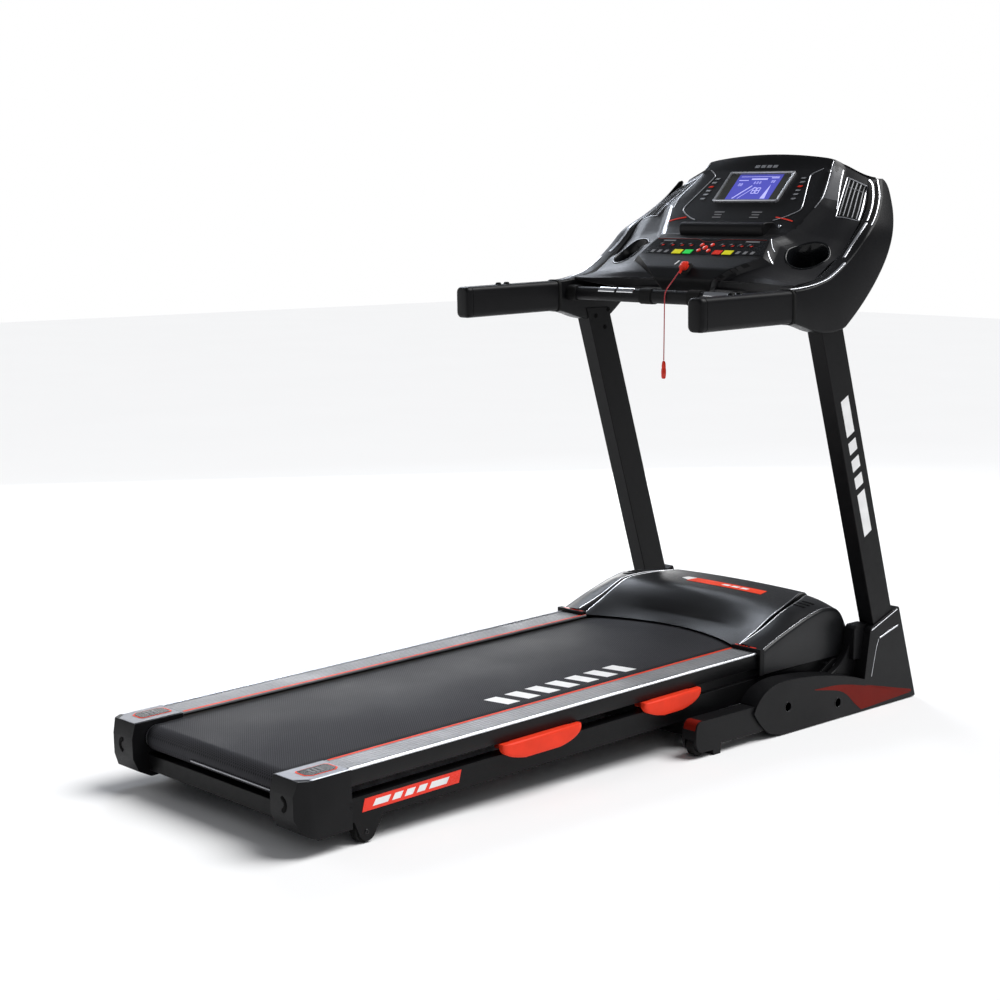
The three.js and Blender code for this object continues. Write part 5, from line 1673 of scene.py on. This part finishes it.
def tether_clip():
    """A clothing clip: one rounded lofted shape that tapers at both ends and pinches in near its middle."""
    box_low, box_high = low("tether_clip"), high("tether_clip")
    middle = (box_low + box_high) / 2
    tall = box_high.z - box_low.z
    rings = []
    for f, wide, deep in ((0, 2.6, 1.6), (0.02, 4.0, 2.6), (0.08, 5.2, 3.6), (0.3, 5.9, 4.1),
                          (0.55, 5.6, 3.8), (0.6, 4.8, 3.1), (0.66, 5.2, 3.6), (0.86, 4.4, 3.2),
                          (0.95, 3.0, 2.4), (1, 1.8, 1.6)):
        ring = rounded_box(wide, deep, min(wide, deep) * 0.8, 5)
        rings.append([Vector((middle.x + a, middle.y + b, box_low.z + f * (tall - 0.6))) for a, b in ring])
    return piece("tether_clip_fine", loft(rings), "safety_key_body", "red_gloss", ("tether_clip",), sharp=50)


def tether(clip):
    line = spline(TETHER_ROUTE, 3)
    data = bpy.data.curves.new("tether_cord_fine", "CURVE")
    data.dimensions = "3D"
    data.bevel_depth = TETHER_DIAMETER_M / 2
    data.bevel_resolution = 4
    data.use_fill_caps = True
    run = data.splines.new("POLY")
    run.points.add(len(line) - 1)
    for target, point in zip(run.points, line):
        target.co = (*(point * MM), 1)
    data.materials.append(LOOKS["cord"])
    cord = bpy.data.objects.new("tether_cord_fine", data)
    bpy.context.scene.collection.objects.link(cord)
    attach(cord, "safety_key_body")
    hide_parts("tether_cord")


safety_key()
tether(tether_clip())

# ---------------------------------------------------------------- parts made only here


def power_inlet():
    """Mains inlet and rocker switch in the front wall of the motor pan."""
    front = 1580
    plate = moved(block(96, 148, front - 0.2, front + 2.5, -60, -38), DECK)
    piece("inlet_plate", plate, "deck", "black_plastic", edge=(0.8, 2))
    socket = moved(block(100, 122, front + 2.2, front + 5, -57, -41), DECK)
    piece("inlet_socket", socket, "deck", "soft_rubber", edge=(1.2, 2),
          cutters=[moved(block(103, 119, front + 3, front + 9, -54.5, -43.5), DECK)])
    rocker = moved(prism([(127, -56), (145, -56), (145, -42), (127, -42)], front + 2.2, front + 5.5, "Y"),
                   DECK)
    piece("inlet_switch", rocker, "deck", "red_gloss", edge=(1.4, 2))


power_inlet()

# ---------------------------------------------------------------- floor, light, world


def make_floor():
    size = 14
    data = bpy.data.meshes.new("floor")
    data.from_pydata([(-size, -size, 0), (size, -size, 0), (size, size, 0), (-size, size, 0)], [],
                     [(0, 1, 2, 3)])
    floor = bpy.data.objects.new("floor", data)
    bpy.context.scene.collection.objects.link(floor)
    material = Finish("floor_paint", Roughness=0.9)
    material.colour(material.mixed(material.noise(1.5), (0.9, 0.9, 0.9), (0.92, 0.92, 0.92)))
    socket_set(material.shader, Specular_IOR_Level=0.1)
    data.materials.append(material.material)


def soft_box(name, place, target, size, watts, colour=(1, 1, 1)):
    data = bpy.data.lights.new(name, "AREA")
    data.shape = "RECTANGLE"
    data.size, data.size_y = size
    data.energy = watts
    data.color = colour
    lamp = bpy.data.objects.new(name, data)
    bpy.context.scene.collection.objects.link(lamp)
    lamp.location = place
    lamp.rotation_mode = "QUATERNION"
    lamp.rotation_quaternion = (Vector(target) - Vector(place)).to_track_quat("-Z", "Y")


def make_world():
    """White to the camera, and a dim even grey as light."""
    world = bpy.data.worlds.new("studio")
    bpy.context.scene.world = world
    world.use_nodes = True
    tree = world.node_tree
    tree.nodes.clear()
    path = tree.nodes.new("ShaderNodeLightPath")
    seen = tree.nodes.new("ShaderNodeBackground")
    seen.inputs["Color"].default_value = (1, 1, 1, 1)
    lit = tree.nodes.new("ShaderNodeBackground")
    lit.inputs["Color"].default_value = (0.9, 0.93, 1, 1)
    lit.inputs["Strength"].default_value = 0.15
    mix = tree.nodes.new("ShaderNodeMixShader")
    out = tree.nodes.new("ShaderNodeOutputWorld")
    tree.links.new(path.outputs["Is Camera Ray"], mix.inputs["Fac"])
    tree.links.new(lit.outputs["Background"], mix.inputs[1])
    tree.links.new(seen.outputs["Background"], mix.inputs[2])
    tree.links.new(mix.outputs["Shader"], out.inputs["Surface"])


def soft_sun(toward, strength, spread):
    data = bpy.data.lights.new("sun", "SUN")
    data.energy = strength
    data.angle = math.radians(spread)
    lamp = bpy.data.objects.new("sun", data)
    bpy.context.scene.collection.objects.link(lamp)
    lamp.rotation_mode = "QUATERNION"
    lamp.rotation_quaternion = Vector(toward).to_track_quat("-Z", "Y")


make_floor()
make_world()
soft_sun((-0.55, -0.75, -1.5), 3.3, 40)
soft_box("back_light", (-3.4, 2.2, 0.8), (0, 0, 0.5), (2.8, 0.9), 34)
soft_box("left_light", (-3.6, -2.2, 1.8), (0, -0.2, 0.6), (2.2, 2.4), 20)
soft_box("wing_light", (-2.7, 1.6, 2.5), (-0.25, 0.6, 1.1), (1.4, 0.8), 30, (0.84, 0.9, 1))
soft_box("front_fill", (3.6, -1.4, 2.2), (0, 0, 0.7), (2.0, 2.0), 12)
bpy.context.scene.view_settings.view_transform = "Standard"
